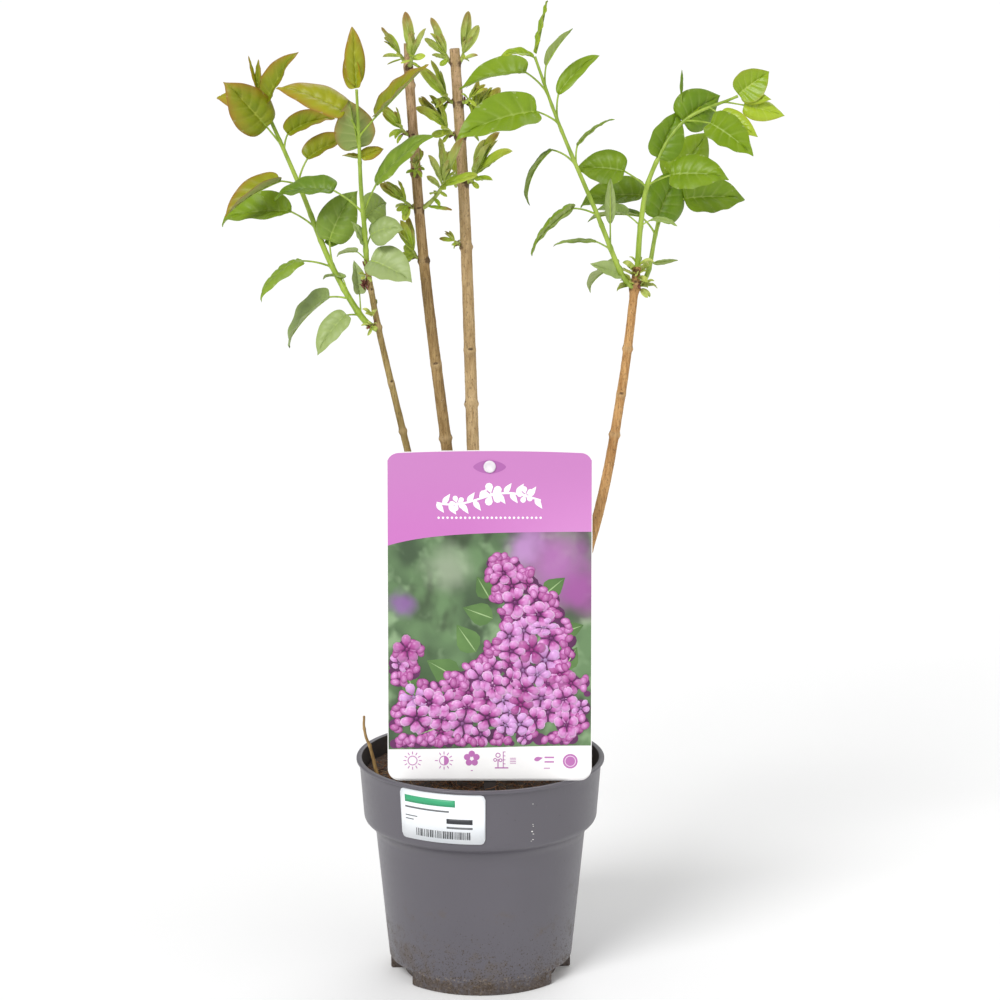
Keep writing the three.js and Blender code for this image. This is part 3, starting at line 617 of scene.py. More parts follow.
def makePot():
    # two profiles turned about the axis: a plain one, and one with a raised foot at each drain
    shape = Bundle("inside")
    turns = pot["turns"]
    plain, drained = potProfile(False), potProfile(True)
    ring = len(plain) - 2
    for k, turn in enumerate(turnsOf(turns)):
        angle = 360 * k / turns
        near = min(abs((angle - middle + 180) % 360 - 180) for middle in pot["drains"])
        profile = drained if near < pot["spread"] / 2 else plain
        for radius, height in profile[1:-1]:
            sag = pot["sag"] * (math.sin(2 * turn + 1) - 1) * height / pot["height"]
            shape.points.append((math.cos(turn) * (radius + sag), math.sin(turn) * (radius + sag), height))
    shape.points += [(0, 0, 0), (0, 0, pot["floor"])]
    for k in range(turns):
        here, there = k * ring, (k + 1) % turns * ring
        shape.faces += [(here + i, there + i, there + i + 1, here + i + 1) for i in range(ring - 1)]
        shape.faces += [(turns * ring, there, here), (turns * ring + 1, here + ring - 1, there + ring - 1)]
    shape.kinds = [0] * len(shape.faces)
    # the inner rows are marked inside, where the finish paints the wall dark: painted shade and dirt
    within = [float(i > ring - pot["innerRows"]) for i in range(1, ring + 1)]
    shape.marks["inside"] = within * turns + [0.0, 1.0]
    addPiece("potShell", shape, [potPlastic], ["pot"])


makePot()


# The compost: a domed bed with a ledge, a lumpy skin, crumbs and fibres.
compost = {
    "top": 125.7, "edge": 122.6, "flat": 22, "ledgeFrom": 57, "ledgeTo": 66, "ledge": 123.7,
    "rings": 46, "turns": 150, "lumps": 1.5, "lift": 0.9, "hairsWithin": 61, "edgeFibresWithin": 67,
    "chip": (1.7, 0.9, 0.5),
}


def compostHeight(radius):
    radii = (0, compost["flat"], compost["ledgeFrom"], compost["ledgeTo"], innerRadius(compost["edge"]) - 0.4)
    heights = [compost[name] for name in ("top", "top", "ledge", "ledge", "edge")]
    return float(np.interp(radius, radii, heights))


def compostSkin(widest):
    # a point in the middle, then ring after ring of lumps
    rings, turns = compost["rings"], compost["turns"]
    points = [Vector((0, 0, compost["top"] + 0.6))]
    for i in range(1, rings + 1):
        radius = widest * i / rings
        for k in range(turns):
            turn = 2 * math.pi * (k + 0.5 * (i % 2)) / turns
            spot = Vector((math.cos(turn) * radius, math.sin(turn) * radius, 0))
            bump = noise.fractal(spot / 7, 0.8, 2.1, 4) + 0.4 * noise.noise(spot / 1.9)
            lift = compost["lift"] + compost["lumps"] * bump * (0.5 if i == rings else 1)
            points.append(Vector((spot.x, spot.y, compostHeight(radius) + max(lift, 0.05))))
    faces = []
    for k in range(turns):
        after = (k + 1) % turns
        faces.append((0, 1 + k, 1 + after))
        for i in range(rings - 1):
            here, there = 1 + i * turns, 1 + (i + 1) * turns
            faces.append((here + k, there + k, there + after, here + after))
    return points, faces


def makeCompost():
    dress("compost", soil)
    widest = innerRadius(compost["edge"]) - 0.35
    points, faces = compostSkin(widest)
    top = Bundle()
    top.add(points, faces)
    surface = addPiece("compostTop", top, [soil]).data
    inner, outer = (compost["turns"] * int(compost["rings"] * compost[reach] / widest)
                    for reach in ("hairsWithin", "edgeFibresWithin"))
    heart = meshOf("compostHeart", points[:1 + inner], [f for f in faces if max(f) <= inner])
    rim = meshOf("compostRim", points[:1 + outer], [f for f in faces if inner < min(f) and max(f) <= outer])
    bent = strand([(5 * math.cos(a) - 3, 5.5 * math.sin(a), 0.5 + 0.5 * math.sin(3 * a))
                   for a in (0.0, 0.45, 0.9, 1.35, 1.75, 2.1)], 0.11)
    fine = strand([(x - 6, 1.6 * math.sin(x / 2.7), 0.6 + 0.3 * math.cos(x))
                   for x in (0, 2.4, 4.8, 7.2, 9.6, 12)], 0.07)
    chip = Bundle()
    addLump(chip, Vector((0, 0, 0)), compost["chip"], 5, 7, 3)
    # name, where, what, finish, density, smallest, largest, tilt, seed
    for name, host, item, finish, *values in (
            ("compostCrumbs", surface, chip, crumb, 75000.0, 0.25, 1.0, 0.9, 3),
            ("compostFibres", heart, bent, fibre, 62000.0, 0.5, 1.5, 0.5, 8),
            ("compostEdgeFibres", rim, bent, fibre, 130000.0, 0.2, 0.4, 0.4, 5),
            ("compostHairs", heart, fine, paleFibre, 22000.0, 0.5, 1.3, 0.45, 14)):
        scatterPiece(name, host, item, finish, "compost", *values)


makeCompost()


# The crown, where the canes part.
crown = {"foot": 13.5, "neck": 10.8, "height": 18, "turns": 72, "knots": 1.4}


def makeCrown():
    base = compost["top"] + 0.3
    top = base + crown["height"]
    foot, neck, turns = crown["foot"], crown["neck"], crown["turns"]
    spots = [(foot, base), (foot - 0.6, base + 1.2), (foot - 1.6, base + 2.7), (neck + 0.5, base + 5.5),
             (neck, base + 7.7), (neck, base + 10.5), (neck - 0.2, top - 5), (neck - 0.9, top - 3.2),
             (neck - 2, top - 1.8), (neck - 3.8, top - 0.7), (neck - 5.5, top), (2.5, top + 0.2)]
    points = []
    for radius, height in spots:
        for turn in turnsOf(turns):
            way = wayOf(turn)
            knots = noise.fractal(way * 2.2 + Vector((0, 0, height / 7)), 0.9, 2.0, 4) - 0.35
            lumpy = radius + crown["knots"] * knots * min(1, (height - base) / 3)
            points.append(way * lumpy + Vector((0, 0, height)))
    wood = Bundle("collar", "scar")
    wood.add(points, tubeFaces(len(spots), turns), scar=[0.9 * max(0, noise.noise(p / 3)) for p in points])
    addPiece("crownWood", wood, [barks["b"]], ["crown"])


# Each cane: its line from the crown up, its radius at the foot and the top, the heights of its joints and
# the turn of the first, and the height and turn of each crust that an old bud left. A dry tip is as long
# as thin says, and shoulders give the height and the extra width where two shoots leave.
canes = {
    "a": {
        "route": [(-6, 0, 134), (-24, -5, 240), (-42.6, -8, 323.5), (-59.6, -14, 400.4), (-65.7, -18, 436)],
        "thick": (2.7, 1.7), "joints": (337, 366, 400, 422), "turn": 20, "cut": False,
    },
    "b": {
        "route": [(0, -6.2, 134), (-8.5, -6.2, 230), (-19.5, -6, 324.3), (-32.7, -5, 436.8),
                  (-42.2, -5, 564.5)],
        "thick": (3.9, 2.7), "joints": (332, 376, 438, 468, 489.5, 511, 541, 551), "turn": 0, "cut": True,
        "thin": 12,
        "crusts": ((438, 160), (438, 340), (467, 0), (467.5, 180), (489, 265), (511, 180), (551, 280)),
    },
    "c": {
        "route": [(0, 6.2, 134), (-1.5, 8.5, 230), (-4.2, 11, 320.6), (-9.3, 16, 470.3), (-14.7, 18, 559)],
        "thick": (4.3, 3), "joints": (349, 381, 443, 480, 508, 527, 552), "turn": 8, "cut": True,
        "crusts": ((443, 180), (479.5, 330), (479, 130), (507.5, 190), (507.5, 350), (527, 185), (526.5, 335),
                   (551, 180), (550.5, 0)),
    },
    "d": {
        "route": [(6.2, 0, 134), (36, 0, 187), (68, 0, 274.7), (84, -1, 360), (92.3, -2, 432.7)],
        "thick": (3.8, 2.4), "joints": (210, 262, 333, 357, 385, 424), "turn": 0, "cut": False,
        "crusts": ((421, 180), (422.5, 0), (430.5, 270)), "shoulders": (421, 0.42),
    },
}
bark = {
    "sides": 28, "step": 0.9, "swell": 0.08, "reach": 1.8, "furrow": 0.13, "grain": 0.08, "scarOut": 0.6,
    "scarWithin": 6, "crustReach": 2.6, "crustSpread": 0.6, "shoulderReach": 3.2, "narrowing": 0.42,
    "tip": ((0.88, 0.25), (0.5, 0.3), (0.2, 0.05)), "roughTip": 0.25, "lenticels": 70000.0,
    "lenticel": (0.2, 0.38, 0.11),
}
caneRoutes = {name: Route(cane["route"]) for name, cane in canes.items()}


def hill(far, reach, power=2):
    return math.exp(-(far / reach) ** power)


def leafScar(far, turn, joints):
    # two scars at each joint, the next pair a quarter turn on: how far a pad stands out, and its dark
    pad = scar = 0
    for at, leaned in joints:
        for half in (0, math.pi):
            around = 1 - math.cos(turn - leaned - half)
            if abs(far - at) < bark["scarWithin"] and around < 0.7:
                pad += math.exp(-((far - at + 0.8) / 1.3) ** 2 - (around / 0.16) ** 1.5)
                scar = max(scar, math.exp(-((far - at - 1.1) / 0.8) ** 2 - (around / 0.14) ** 1.5))
    return bark["scarOut"] * pad, scar


def crustOf(far, facing, crusted):
    return max([math.exp(-((far - at) / bark["crustReach"]) ** 2
                         - (1 - math.cos(facing - where)) / bark["crustSpread"])
                for at, where in crusted], default=0)


def caneRadius(cane, route, share):
    # the radius, and how much wider the cane is to both sides where two shoots leave it
    far = share * route.length
    radius = between(*cane["thick"], share)
    if cane.get("thin"):                # a dry tip narrows where the top bud took over
        radius *= 1 - bark["narrowing"] * max(0, 1 - (route.length - far) / cane["thin"]) ** 0.6
    if not cane.get("shoulders"):
        return radius, 0
    height, wider = cane["shoulders"]
    return radius, wider * hill(far - route.farAt(height), bark["shoulderReach"])


def caneTip(route, rim, cut):
    # rings that close a cane's end: a rough cut, or a low dome
    end, along = route.at(1), route.along(1)
    points = []
    for share, lift in bark["tip"]:
        rise = lift if cut else 1.6 - share
        for point in rim:
            edge = point - end
            rough = bark["roughTip"] * noise.noise(edge * 1.3 + Vector((share * 9, 0, 0)))
            points.append(end + edge * share + along * (rise + rough))
    return points


def growCane(name, cane, finish, slot):
    route = caneRoutes[name]
    sides = bark["sides"]
    rings = int(route.length / bark["step"])
    joints = [(route.farAt(h), math.radians(cane["turn"] + 90 * (i % 2)))
              for i, h in enumerate(cane["joints"])]
    crusted = [(route.farAt(h), math.radians(turn)) for h, turn in cane.get("crusts", ())]
    points, collars, scars, crusts = [], [], [], []
    for i in range(rings + 1):
        share = i / rings
        far = share * route.length
        along = route.along(share)
        side = along.cross(Vector((0, 1, 0))).normalized()
        other = along.cross(side)
        radius, shoulder = caneRadius(cane, route, share)
        ringed = max(hill(far - at, bark["reach"]) for at, _ in joints)
        for turn in turnsOf(sides):
            way = side * math.cos(turn) + other * math.sin(turn)
            facing = math.atan2(way.y, way.x)
            spot = Vector((math.cos(turn) * radius / 0.8, math.sin(turn) * radius / 0.8, far / 7 + ord(name)))
            out = radius * (1 + bark["swell"] * ringed + shoulder * math.cos(facing) ** 2)
            out += bark["furrow"] * noise.noise(spot) + bark["grain"] * noise.noise(spot * 2.7)
            pad, scar = leafScar(far, turn, joints)
            crust = crustOf(far, facing, crusted)
            points.append(route.at(share) + way * (out + pad))
            collars.append(ringed * 0.8 * (1 - crust))
            scars.append(scar)
            crusts.append(crust)
    faces = [face for i in range(rings) for face in girdle(i * sides, (i + 1) * sides, sides)]
    faces.append(tuple(range(sides - 1, -1, -1)))
    barked = len(faces)
    points += caneTip(route, points[rings * sides:], cane["cut"])
    for i, (share, _) in enumerate(bark["tip"], rings):
        collars += [0.3] * sides
        scars += [0.9 if share < 0.3 else 0.0] * sides
        crusts += [0.0] * sides
        faces += girdle(i * sides, (i + 1) * sides, sides)
    faces.append(tuple(range(len(points) - sides, len(points))))
    kinds = [0] * barked + [int(cane["cut"])] * (len(faces) - barked)
    wood = Bundle("collar", "scar", "crust")
    wood.add(points, faces, kinds, collar=collars, scar=scars, crust=crusts)
    made = addPiece("caneBark_" + name, wood, [finish, cutWood], ["cane_" + name])
    dot = Bundle()
    addLump(dot, Vector((0, 0, 0)), bark["lenticel"], 4, 6, 5)
    scatterPiece("lenticels_" + name, made.data, dot, lenticelFinish, slot,
                 bark["lenticels"], 0.5, 1.2, 0.05, 21 + ord(name))


makeCrown()
for caneName, caneSizes in canes.items():
    growCane(caneName, caneSizes, barks[caneName], "olive_bark" if caneName == "a" else "bark")

deadTwig = {
    "route": [(-61.8, -8, 122), (-65.9, -8, 139.6), (-69.8, -9, 152.5), (-69.9, -9, 161.3)],
    "thick": (1.2, 0.7), "kinks": 0.35, "steps": 60, "rings": ((0.25, 0.52, 0.03), (0.2, 0.8, 0.02)),
}


def makeDeadTwig():
    route = Route(deadTwig["route"])
    line, girths = [], []
    for i in range(deadTwig["steps"] + 1):
        share = i / deadTwig["steps"]
        kink = Vector(noise.noise(Vector((share * 7, way, 3))) for way in (0, 20, 40)) * deadTwig["kinks"]
        line.append(route.at(share) + kink)
        ring = sum(more * hill(share - at, wide) for more, at, wide in deadTwig["rings"])
        girths.append(between(*deadTwig["thick"], share) + ring)
    sweepPiece("dryTwig", [(line, girths)], straw, 12, ["dead_twig"])


makeDeadTwig()
print("canes")


# Leaves: angles in degrees, the rest as shares of the blade or counts.
leafRule = {
    "fold": 20, "stalkBend": 0.3, "nod": 0.3, "share": 0.54, "sweep": 0.22, "lobeAt": 0.055, "slant": 1.15,
    "rowPower": 1.5, "hookFrom": 0.75, "veinDepth": 0.25, "ribTo": 0.9, "ribSteps": 8, "stalkSteps": 6,
    "probes": 6, "probeFrom": 0.15, "probeStep": 0.17, "clear": 0.9,
}


# Half a leaf's width over its length, from root to tip.
def plain(share):
    return share ** 0.5 * (1 - share) ** 0.95 / 0.393 / 2


def broad(share):
    # rounded shoulders and a drawn-out tip
    return plain(share) * (1 - 0.55 * math.exp(-(1 - share) / 0.085))


def blunt(share):
    return share ** 0.8 * (1 - share) ** 0.62 / 0.425 / 2


def lance(share):
    return share ** 0.55 * (1 - share) ** 0.85 / 0.443 / 2


looks = {
    "broad": {"outline": broad, "veins": 7, "perVein": 4, "across": (0.1, 0.34, 0.6, 0.84, 1.0), "lobe": 0.06,
              "wave": 0.012, "bulge": 0.024, "thick": 0.3, "fold": 1.0, "hook": 0.14},
    "narrow": {"outline": lance, "veins": 6, "perVein": 3, "across": (0.14, 0.45, 0.78, 1.0), "lobe": 0.0,
               "wave": 0.009, "bulge": 0.016, "thick": 0.3, "fold": 1.2, "hook": 0.08},
    "crisp": {"outline": lance, "veins": 7, "perVein": 3, "across": (0.2, 0.5, 0.8, 1.0), "lobe": 0.0,
              "wave": 0.03, "bulge": 0.02, "thick": 0.3, "fold": 1.4, "hook": 0.05},
    "young": {"outline": blunt, "veins": 4, "perVein": 3, "across": (0.35, 0.75, 1.0), "lobe": 0.0,
              "wave": 0.012, "bulge": 0.012, "thick": 0.36, "fold": 1.4, "hook": 0.04},
    "scale": {"outline": blunt, "veins": 3, "perVein": 2, "across": (0.5, 1.0), "lobe": 0.0,
              "wave": 0.02, "bulge": 0.0, "thick": 0.3, "fold": 1.6, "hook": 0.3},
}


def arcStep(start, end, length, distance):
    bend = (start - end) / length
    slope = start - bend * distance
    if abs(bend) < 1e-6:
        return math.cos(start) * distance, math.sin(start) * distance, slope
    return (math.sin(start) - math.sin(slope)) / bend, (math.cos(slope) - math.cos(start)) / bend, slope


def leafFrame(root, leaf, distance):
    # centre, sideways, upward and lengthwise directions at a distance from the root
    rise, droop, stalk = leaf["rise"], leaf["droop"], leaf["stalk"]
    stalkEnd = rise - leafRule["stalkBend"] * droop
    run, climb, slope = arcStep(rise, stalkEnd, stalk, min(distance, stalk))
    if distance > stalk:
        begin = stalkEnd - leafRule["nod"] * droop
        x, z, slope = arcStep(begin, rise - droop, leaf["blade"], distance - stalk)
        run, climb = run + x, climb + z
    turn = leaf["turn"]
    outward = wayOf(turn)
    centre = root + outward * run + Vector((0, 0, climb))
    along = outward * math.cos(slope) + Vector((0, 0, math.sin(slope)))
    faceFront = (1 if math.cos(turn) >= 0 else -1) * leaf["twist"]
    side = Matrix.Rotation(faceFront, 3, along) @ Vector((-math.sin(turn), math.cos(turn), 0))
    return centre, side, along.cross(side), along


def touchesCane(root, leaf):
    for name, route in caneRoutes.items():
        for i in range(leafRule["probes"]):
            share = leafRule["probeFrom"] + leafRule["probeStep"] * i
            centre, side, _, _ = leafFrame(root, leaf, leaf["stalk"] + share * leaf["blade"])
            half = plain(share) * leaf["width"] * leaf["blade"]
            for way in (-1, 0, 1):
                spot = centre + side * (way * half)
                at = route.atHeight(spot.z)
                near = between(*canes[name]["thick"], at) + leafRule["clear"]
                if (route.at(at) - spot).length < near:
                    return True
    return False


class Blade:
    # the surface of one leaf, with the waves and folds that chance gives it
    def __init__(self, root, leaf, look, draw):
        self.root, self.leaf, self.look = root, leaf, look
        self.stalk, self.length = leaf["stalk"], leaf["blade"]
        self.width = leaf["width"] * self.length
        self.lobe = look["lobe"] if leaf["width"] > 0.5 else 0
        self.wave = look["wave"] * self.length * (0.5 + draw.random())
        self.phase = 2 * math.pi * draw.random()
        self.ripples = 2.2 + 1.6 * draw.random()
        self.curl = (draw.random() - 0.4) * 0.9
        self.fold = math.radians(leafRule["fold"]) * look["fold"] * (0.8 + 0.7 * draw.random())
        self.hook = look["hook"] * self.length * (draw.random() - 0.15)
        self.tone = draw.random()
        self.base = leafFrame(root, leaf, self.stalk + 1e-4)

    def frame(self, far):
        # far is the share of the blade's length
        return leafFrame(self.root, self.leaf, self.stalk + max(far, 1e-4) * self.length)

    def spot(self, along, step):
        # a row at a share of the length, a step to the left or right of the rib: the place, its normal,
        # how far it is out to the rim and how far along the blade
        share = 0 if step == 0 else self.look["across"][abs(step) - 1]
        way = 1 if step > 0 else -1
        edge = min(along + leafRule["sweep"] * math.sin(math.pi * along), 1)
        back = self.lobe * (along / leafRule["lobeAt"]) * math.exp(1 - along / leafRule["lobeAt"])
        far = along + (edge - back - along) * share ** leafRule["slant"]
        reach = self.look["outline"](edge) * self.width * share
        centre, side, up, ahead = self.base if far < 0 else self.frame(far)
        if far < 0:                     # the lobes lie behind the root
            centre = centre + ahead * (far * self.length)
        lift = self.fold * (1.25 - 0.5 * share) - self.curl * share ** 2
        out = side * way
        normal = up * math.cos(lift) - out * math.sin(lift)
        swing = self.ripples * 2 * math.pi * far + self.phase + (2 if way > 0 else 0)
        place = centre + (out * math.cos(lift) + up * math.sin(lift)) * reach
        place += normal * (self.wave * share ** 2 * math.sin(swing))
        place -= up * self.hook * max(0, (far - leafRule["hookFrom"]) / (1 - leafRule["hookFrom"])) ** 2
        return place, normal, share, far


def growBlade(bundle, root, leaf, look, draw, bloom=0.0):
    # an upper and a lower face that meet at the rim, swollen between the veins
    blade = Blade(root, leaf, look, draw)
    rows = look["veins"] * look["perVein"]
    last = len(look["across"])
    thick = look["thick"] / 2
    points, faces, kinds = [], [], []
    veins, edges, alongs = [], [], []

    def keep(place, vein, share, far):
        points.append(place)
        veins.append(vein)
        edges.append(share)
        alongs.append(min(max(far, 0), 1))
        return len(points) - 1

    tops, unders = [], []
    for i in range(1, rows):
        along = (i / rows) ** leafRule["rowPower"]
        onVein = i % look["perVein"] == 0
        top, under = {}, {}
        for step in range(-last, last + 1):
            place, normal, share, far = blade.spot(along, step)
            swell = 0 if onVein else look["bulge"] * blade.length * math.sin(math.pi * share ** 0.8)
            vein = 1.0 if step == 0 else (0.8 * (1 - 0.62 * share) if onVein else 0.0)
            if abs(step) == last:
                top[step] = under[step] = keep(place, 0.0, 1.0, far)
                continue
            groove = leafRule["veinDepth"] * thick if step == 0 else 0
            top[step] = keep(place + normal * (swell + thick - groove), vein, share, far)
            under[step] = keep(place + normal * (swell - thick), vein, share, far)
        tops.append(top)
        unders.append(under)
    rootPoint = keep(blade.base[0], 1.0, 0, 0)
    point, _, up, _ = blade.frame(1)
    tip = keep(point - up * blade.hook, 0.3, 1, 1)
    for kind, layer in ((0, tops), (1, unders)):
        made = [(here[s], there[s], there[s + 1], here[s + 1]) for here, there in zip(layer, layer[1:])
                for s in range(-last, last)]
        for s in range(-last, last):
            made += [(rootPoint, layer[0][s], layer[0][s + 1]), (layer[-1][s], tip, layer[-1][s + 1])]
        faces += [face[::-1] for face in made] if kind else made
        kinds += [kind] * len(made)
    bundle.add(points, faces, kinds, vein=veins, edge=edges, along=alongs, tone=blade.tone, bloom=bloom)


def growStalk(lines, root, leaf, look):
    # the stalk, which runs on under the blade as its middle rib
    stalk, blade = leaf["stalk"], leaf["blade"]
    line, girths = [], []
    size = min(1, 0.45 + blade / 60)
    steps = leafRule["stalkSteps"]
    if stalk > 3:
        for i in range(steps):
            line.append(leafFrame(root, leaf, stalk * i / steps)[0])
            girths.append(size * (0.66 - 0.16 * i / steps + (0.35 if i == 0 else 0)))
    for i in range(leafRule["ribSteps"] + 1):
        share = leafRule["ribTo"] * i / leafRule["ribSteps"]
        centre, _, up, _ = leafFrame(root, leaf, stalk + max(share, 1e-4) * blade)
        girth = size * (0.5 * (1 - share) + 0.08)
        line.append(centre - up * ((look["thick"] * 0.5 + girth * 0.35) * min(1, i / 2)))
        girths.append(girth)
    lines.append((line, girths))


# Each leaf: place along the stem, turn (0 right, 90 back, 180 left, 270 front), rise of its stalk,
# droop to the tip, twist to the front, stalk length, blade length and its width where that is unusual.
shoots = {
    "shoot_a1": {
        "thick": (1.95, 1), "bronze": 0.5,
        "route": [(-60, -14.3, 398.5), (-66.6, -14, 402.8), (-85.5, -4, 431.8), (-107.2, 8, 483.3),
                  (-130, 18, 533.9)],
        "leaves": [
            (0.08, 205, 20, 88, 35, 9, 30), (0.08, 150, 88, 10, 40, 13, 20), (0.155, 160, 14, 78, 30, 13, 43),
            (0.18, 140, 90, 120, 0, 9, 17), (0.29, 205, 27, 80, -5, 21, 35),
            (0.27, 4, 108, 58, 72, 19, 34, 0.7), (0.37, 30, 40, 5, 30, 3, 17),
            (0.45, 158, 38, 60, 45, 18, 50, 0.5), (0.62, 200, 26, 70, 5, 12, 40),
            (0.63, 25, 78, 72, 30, 15, 33), (0.78, 202, 52, 5, 80, 15, 37, 0.74),
            (0.76, 25, 92, 98, 40, 10, 32), (0.94, 335, 74, 22, 60, 3, 37), (0.94, 150, 46, 55, 45, 4, 32),
            (1, 175, 72, -5, 10, 2, 20, 0.3), (1, 60, 88, 0, 0, 2, 17, 0.3),
        ],
    },
    "shoot_a2": {
        "thick": (1.7, 0.8), "bronze": 0.58,
        "route": [(-65.6, -18, 435), (-66.9, -23, 461.5), (-68.3, -29, 482.8), (-69, -37, 512.9),
                  (-69.8, -45, 542.6)],
        "leaves": [
            (1, 195, 84, -4, 85, 2, 34, 0.42), (0.99, 130, 82, 10, 60, 2, 24), (0.74, 345, 50, 6, 22, 16, 44),
            (0.76, 168, 66, 60, 30, 14, 44), (0.66, 215, 74, -4, -75, 2, 29, 0.85),
            (0.62, 150, 5, 0, 10, 1, 11), (0.62, 30, 25, 10, 50, 1, 16),
            (0.3, 338, 71, 36, 42, 20, 47, 0.48), (0.31, 160, 44, 66, 25, 22, 40),
            (0.12, 205, 65, 5, 60, 2, 16), (0.2, 62, 92, 100, 65, 9, 25, 0.8), (0.04, 160, 55, 85, 0, 8, 14),
            (0.05, 335, 94, 100, 60, 15, 22, 0.85), (0.04, 330, 20, 50, 40, 3, 30, 0.85),
        ],
    },
    "shoot_d1": {
        "thick": (1.7, 0.8), "lime": 0.95,
        "route": [(90.5, -2, 421), (85.2, -6, 426.3), (68.3, -17, 466.9), (45.3, -28, 522.1),
                  (31.8, -36, 560.3)],
        "leaves": [
            (1, 5, 76, -2, 10, 2, 31, 0.28), (0.97, 205, 74, 86, 30, 5, 21, 0.45),
            (0.88, 335, 96, 55, 10, 12, 28, 0.4), (0.85, 160, 55, 90, 30, 18, 43),
            (0.74, 25, 100, 75, 35, 15, 35, 0.38), (0.73, 204, 38, 66, 45, 16, 53),
            (0.55, 158, 52, 147, 12, 18, 39, 0.42), (0.55, 332, 100, 80, 0, 12, 30, 0.32),
            (0.34, 207, 32, 92, -35, 17, 39), (0.19, 160, 34, 50, 10, 10, 28, 0.3),
            (0.2, 285, 94, 4, 0, 14, 27, 0.28), (0.07, 200, 32, 12, 65, 2, 21, 0.6),
            (0.08, 135, 60, 120, 20, 6, 30),
        ],
    },
    "shoot_d2": {
        "thick": (1.8, 0.8), "lime": 0.75,
        "route": [(92.5, -2, 431.5), (94.5, 0, 459.7), (99.7, 4, 485.6), (118.9, 9, 517.3),
                  (151.1, 14, 531.9)],
        "leaves": [
            (0.2, 155, 44, 50, 20, 11, 21), (0.2, 330, 40, 60, 10, 9, 17),
            (0.38, 170, 42, 50, 55, 16, 29, 0.8),
            (0.39, 340, 30, 36, 45, 16, 35, 0.75), (0.5, 25, 70, 8, 80, 3, 30, 0.75),
            (0.7, 25, 64, 45, 80, 3, 29, 0.9), (0.73, 325, 6, 45, 55, 18, 34, 0.7),
            (0.72, 150, 84, -10, 0, 16, 15, 0.3), (0.76, 50, 30, 0, 10, 2, 22, 0.3),
            (0.86, 330, -30, -8, 50, 8, 27), (0.93, 0, -8, 8, 60, 12, 25, 0.6),
            (0.99, 10, 48, 16, 78, 2, 23, 0.95), (0.99, 350, 5, 10, 60, 3, 18, 0.5),
        ],
    },
    "shoot_d3": {
        "thick": (1.6, 0.8),
        "route": [(93, 0, 421.5), (98.3, 6, 426.7), (104.2, 20, 450.6), (109.1, 27, 464.5),
                  (116.9, 34, 479.6)],
        "leaves": [
            (0.24, 20, 16, 15, -40, 2, 16, 0.4), (0.5, 155, 60, 85, 0, 14, 36, 0.4),
            (0.5, 50, 84, 40, 60, 9, 35, 0.75), (0.73, 18, 28, 38, 58, 14, 40, 0.65),
            (0.73, 155, 38, 62, 45, 15, 44), (0.98, 25, 76, 30, 78, 2, 34, 0.78),
            (0.98, 110, 70, 30, 20, 3, 26),
        ],
    },
}
youngShoots = {
    "shoot_b1": {
        "thick": (1.3, 0.8),
        "route": [(-41, -6, 551), (-39.5, -9.6, 554.5), (-39.2, -10.6, 559)],
        "leaves": [
            (0.9, 180, 87, 6, -80, 1, 25, 0.3), (0.7, 0, 62, -4, -50, 1, 19, 0.32),
            (0.8, 230, 86, 20, -80, 1, 9, 0.61), (0.4, 350, 0, 40, 20, 1, 7, 0.49),
            (0.4, 185, 20, 60, 20, 1, 6, 0.49),
        ],
    },
    "shoot_b2": {
        "thick": (1.3, 0.8), "route": [(-41, -5, 552), (-44.2, -5, 555.5), (-46, -5.5, 558.5)],
        "leaves": [
            (1, 178, 42, -18, -40, 1, 18, 0.32), (0.9, 200, 70, 30, -40, 1, 14, 0.37),
            (0.9, 160, 78, 10, 30, 1, 13, 0.37), (0.8, 185, 15, 20, -50, 1, 10, 0.44),
            (0.6, 190, 4, 30, -20, 1, 9, 0.37),
        ],
    },
    "shoot_b3": {
        "thick": (1.5, 0.8),
        "route": [(-36, -5, 467), (-31.5, -6, 470), (-27, -7, 474.2), (-22.8, -9, 480.2), (-20, -10, 486)],
        "leaves": [
            (0.9, 355, 60, -8, -40, 1, 30, 0.33), (0.8, 330, 44, 30, 40, 1, 25, 0.37),
            (0.95, 170, 84, 0, -60, 1, 25, 0.27), (0.9, 250, 88, -4, -80, 1, 22, 0.3),
            (0.85, 186, 70, 5, -50, 1, 19, 0.37), (0.8, 180, 30, -10, -60, 1, 10, 0.55),
            (0.55, 184, 20, 10, -30, 1, 8, 0.49), (0.2, 340, 12, 20, 30, 1, 16, 0.24),
            (0.15, 178, 84, 0, 30, 1, 12, 0.24),
        ],
    },
    "shoot_c1": {
        "thick": (1.3, 0.8), "route": [(-14.5, 18, 549), (-18, 18, 552.2), (-20, 17.5, 556.2)],
        "leaves": [
            (1, 182, 62, -8, -60, 1, 22, 0.32), (0.9, 210, 84, 4, -80, 1, 17, 0.39),
            (0.9, 176, 34, -6, -60, 1, 15, 0.41), (0.6, 184, 12, -6, -50, 1, 9, 0.51),
            (0.7, 90, 50, 20, 20, 1, 16, 0.37),
        ],
    },
    "shoot_c2": {
        "thick": (1.3, 0.8), "route": [(-14.5, 18, 549), (-11, 17.5, 552.2), (-9.6, 17, 556.5)],
        "leaves": [
            (1, 10, 86, 4, -70, 1, 24, 0.33), (0.9, 350, 62, 0, -70, 1, 19, 0.37),
            (0.6, 0, 10, -6, -50, 1, 9, 0.51), (0.8, 80, 60, 20, 30, 1, 15, 0.39),
            (0.7, 280, 60, 80, 10, 1, 8, 0.49),
        ],
    },
}
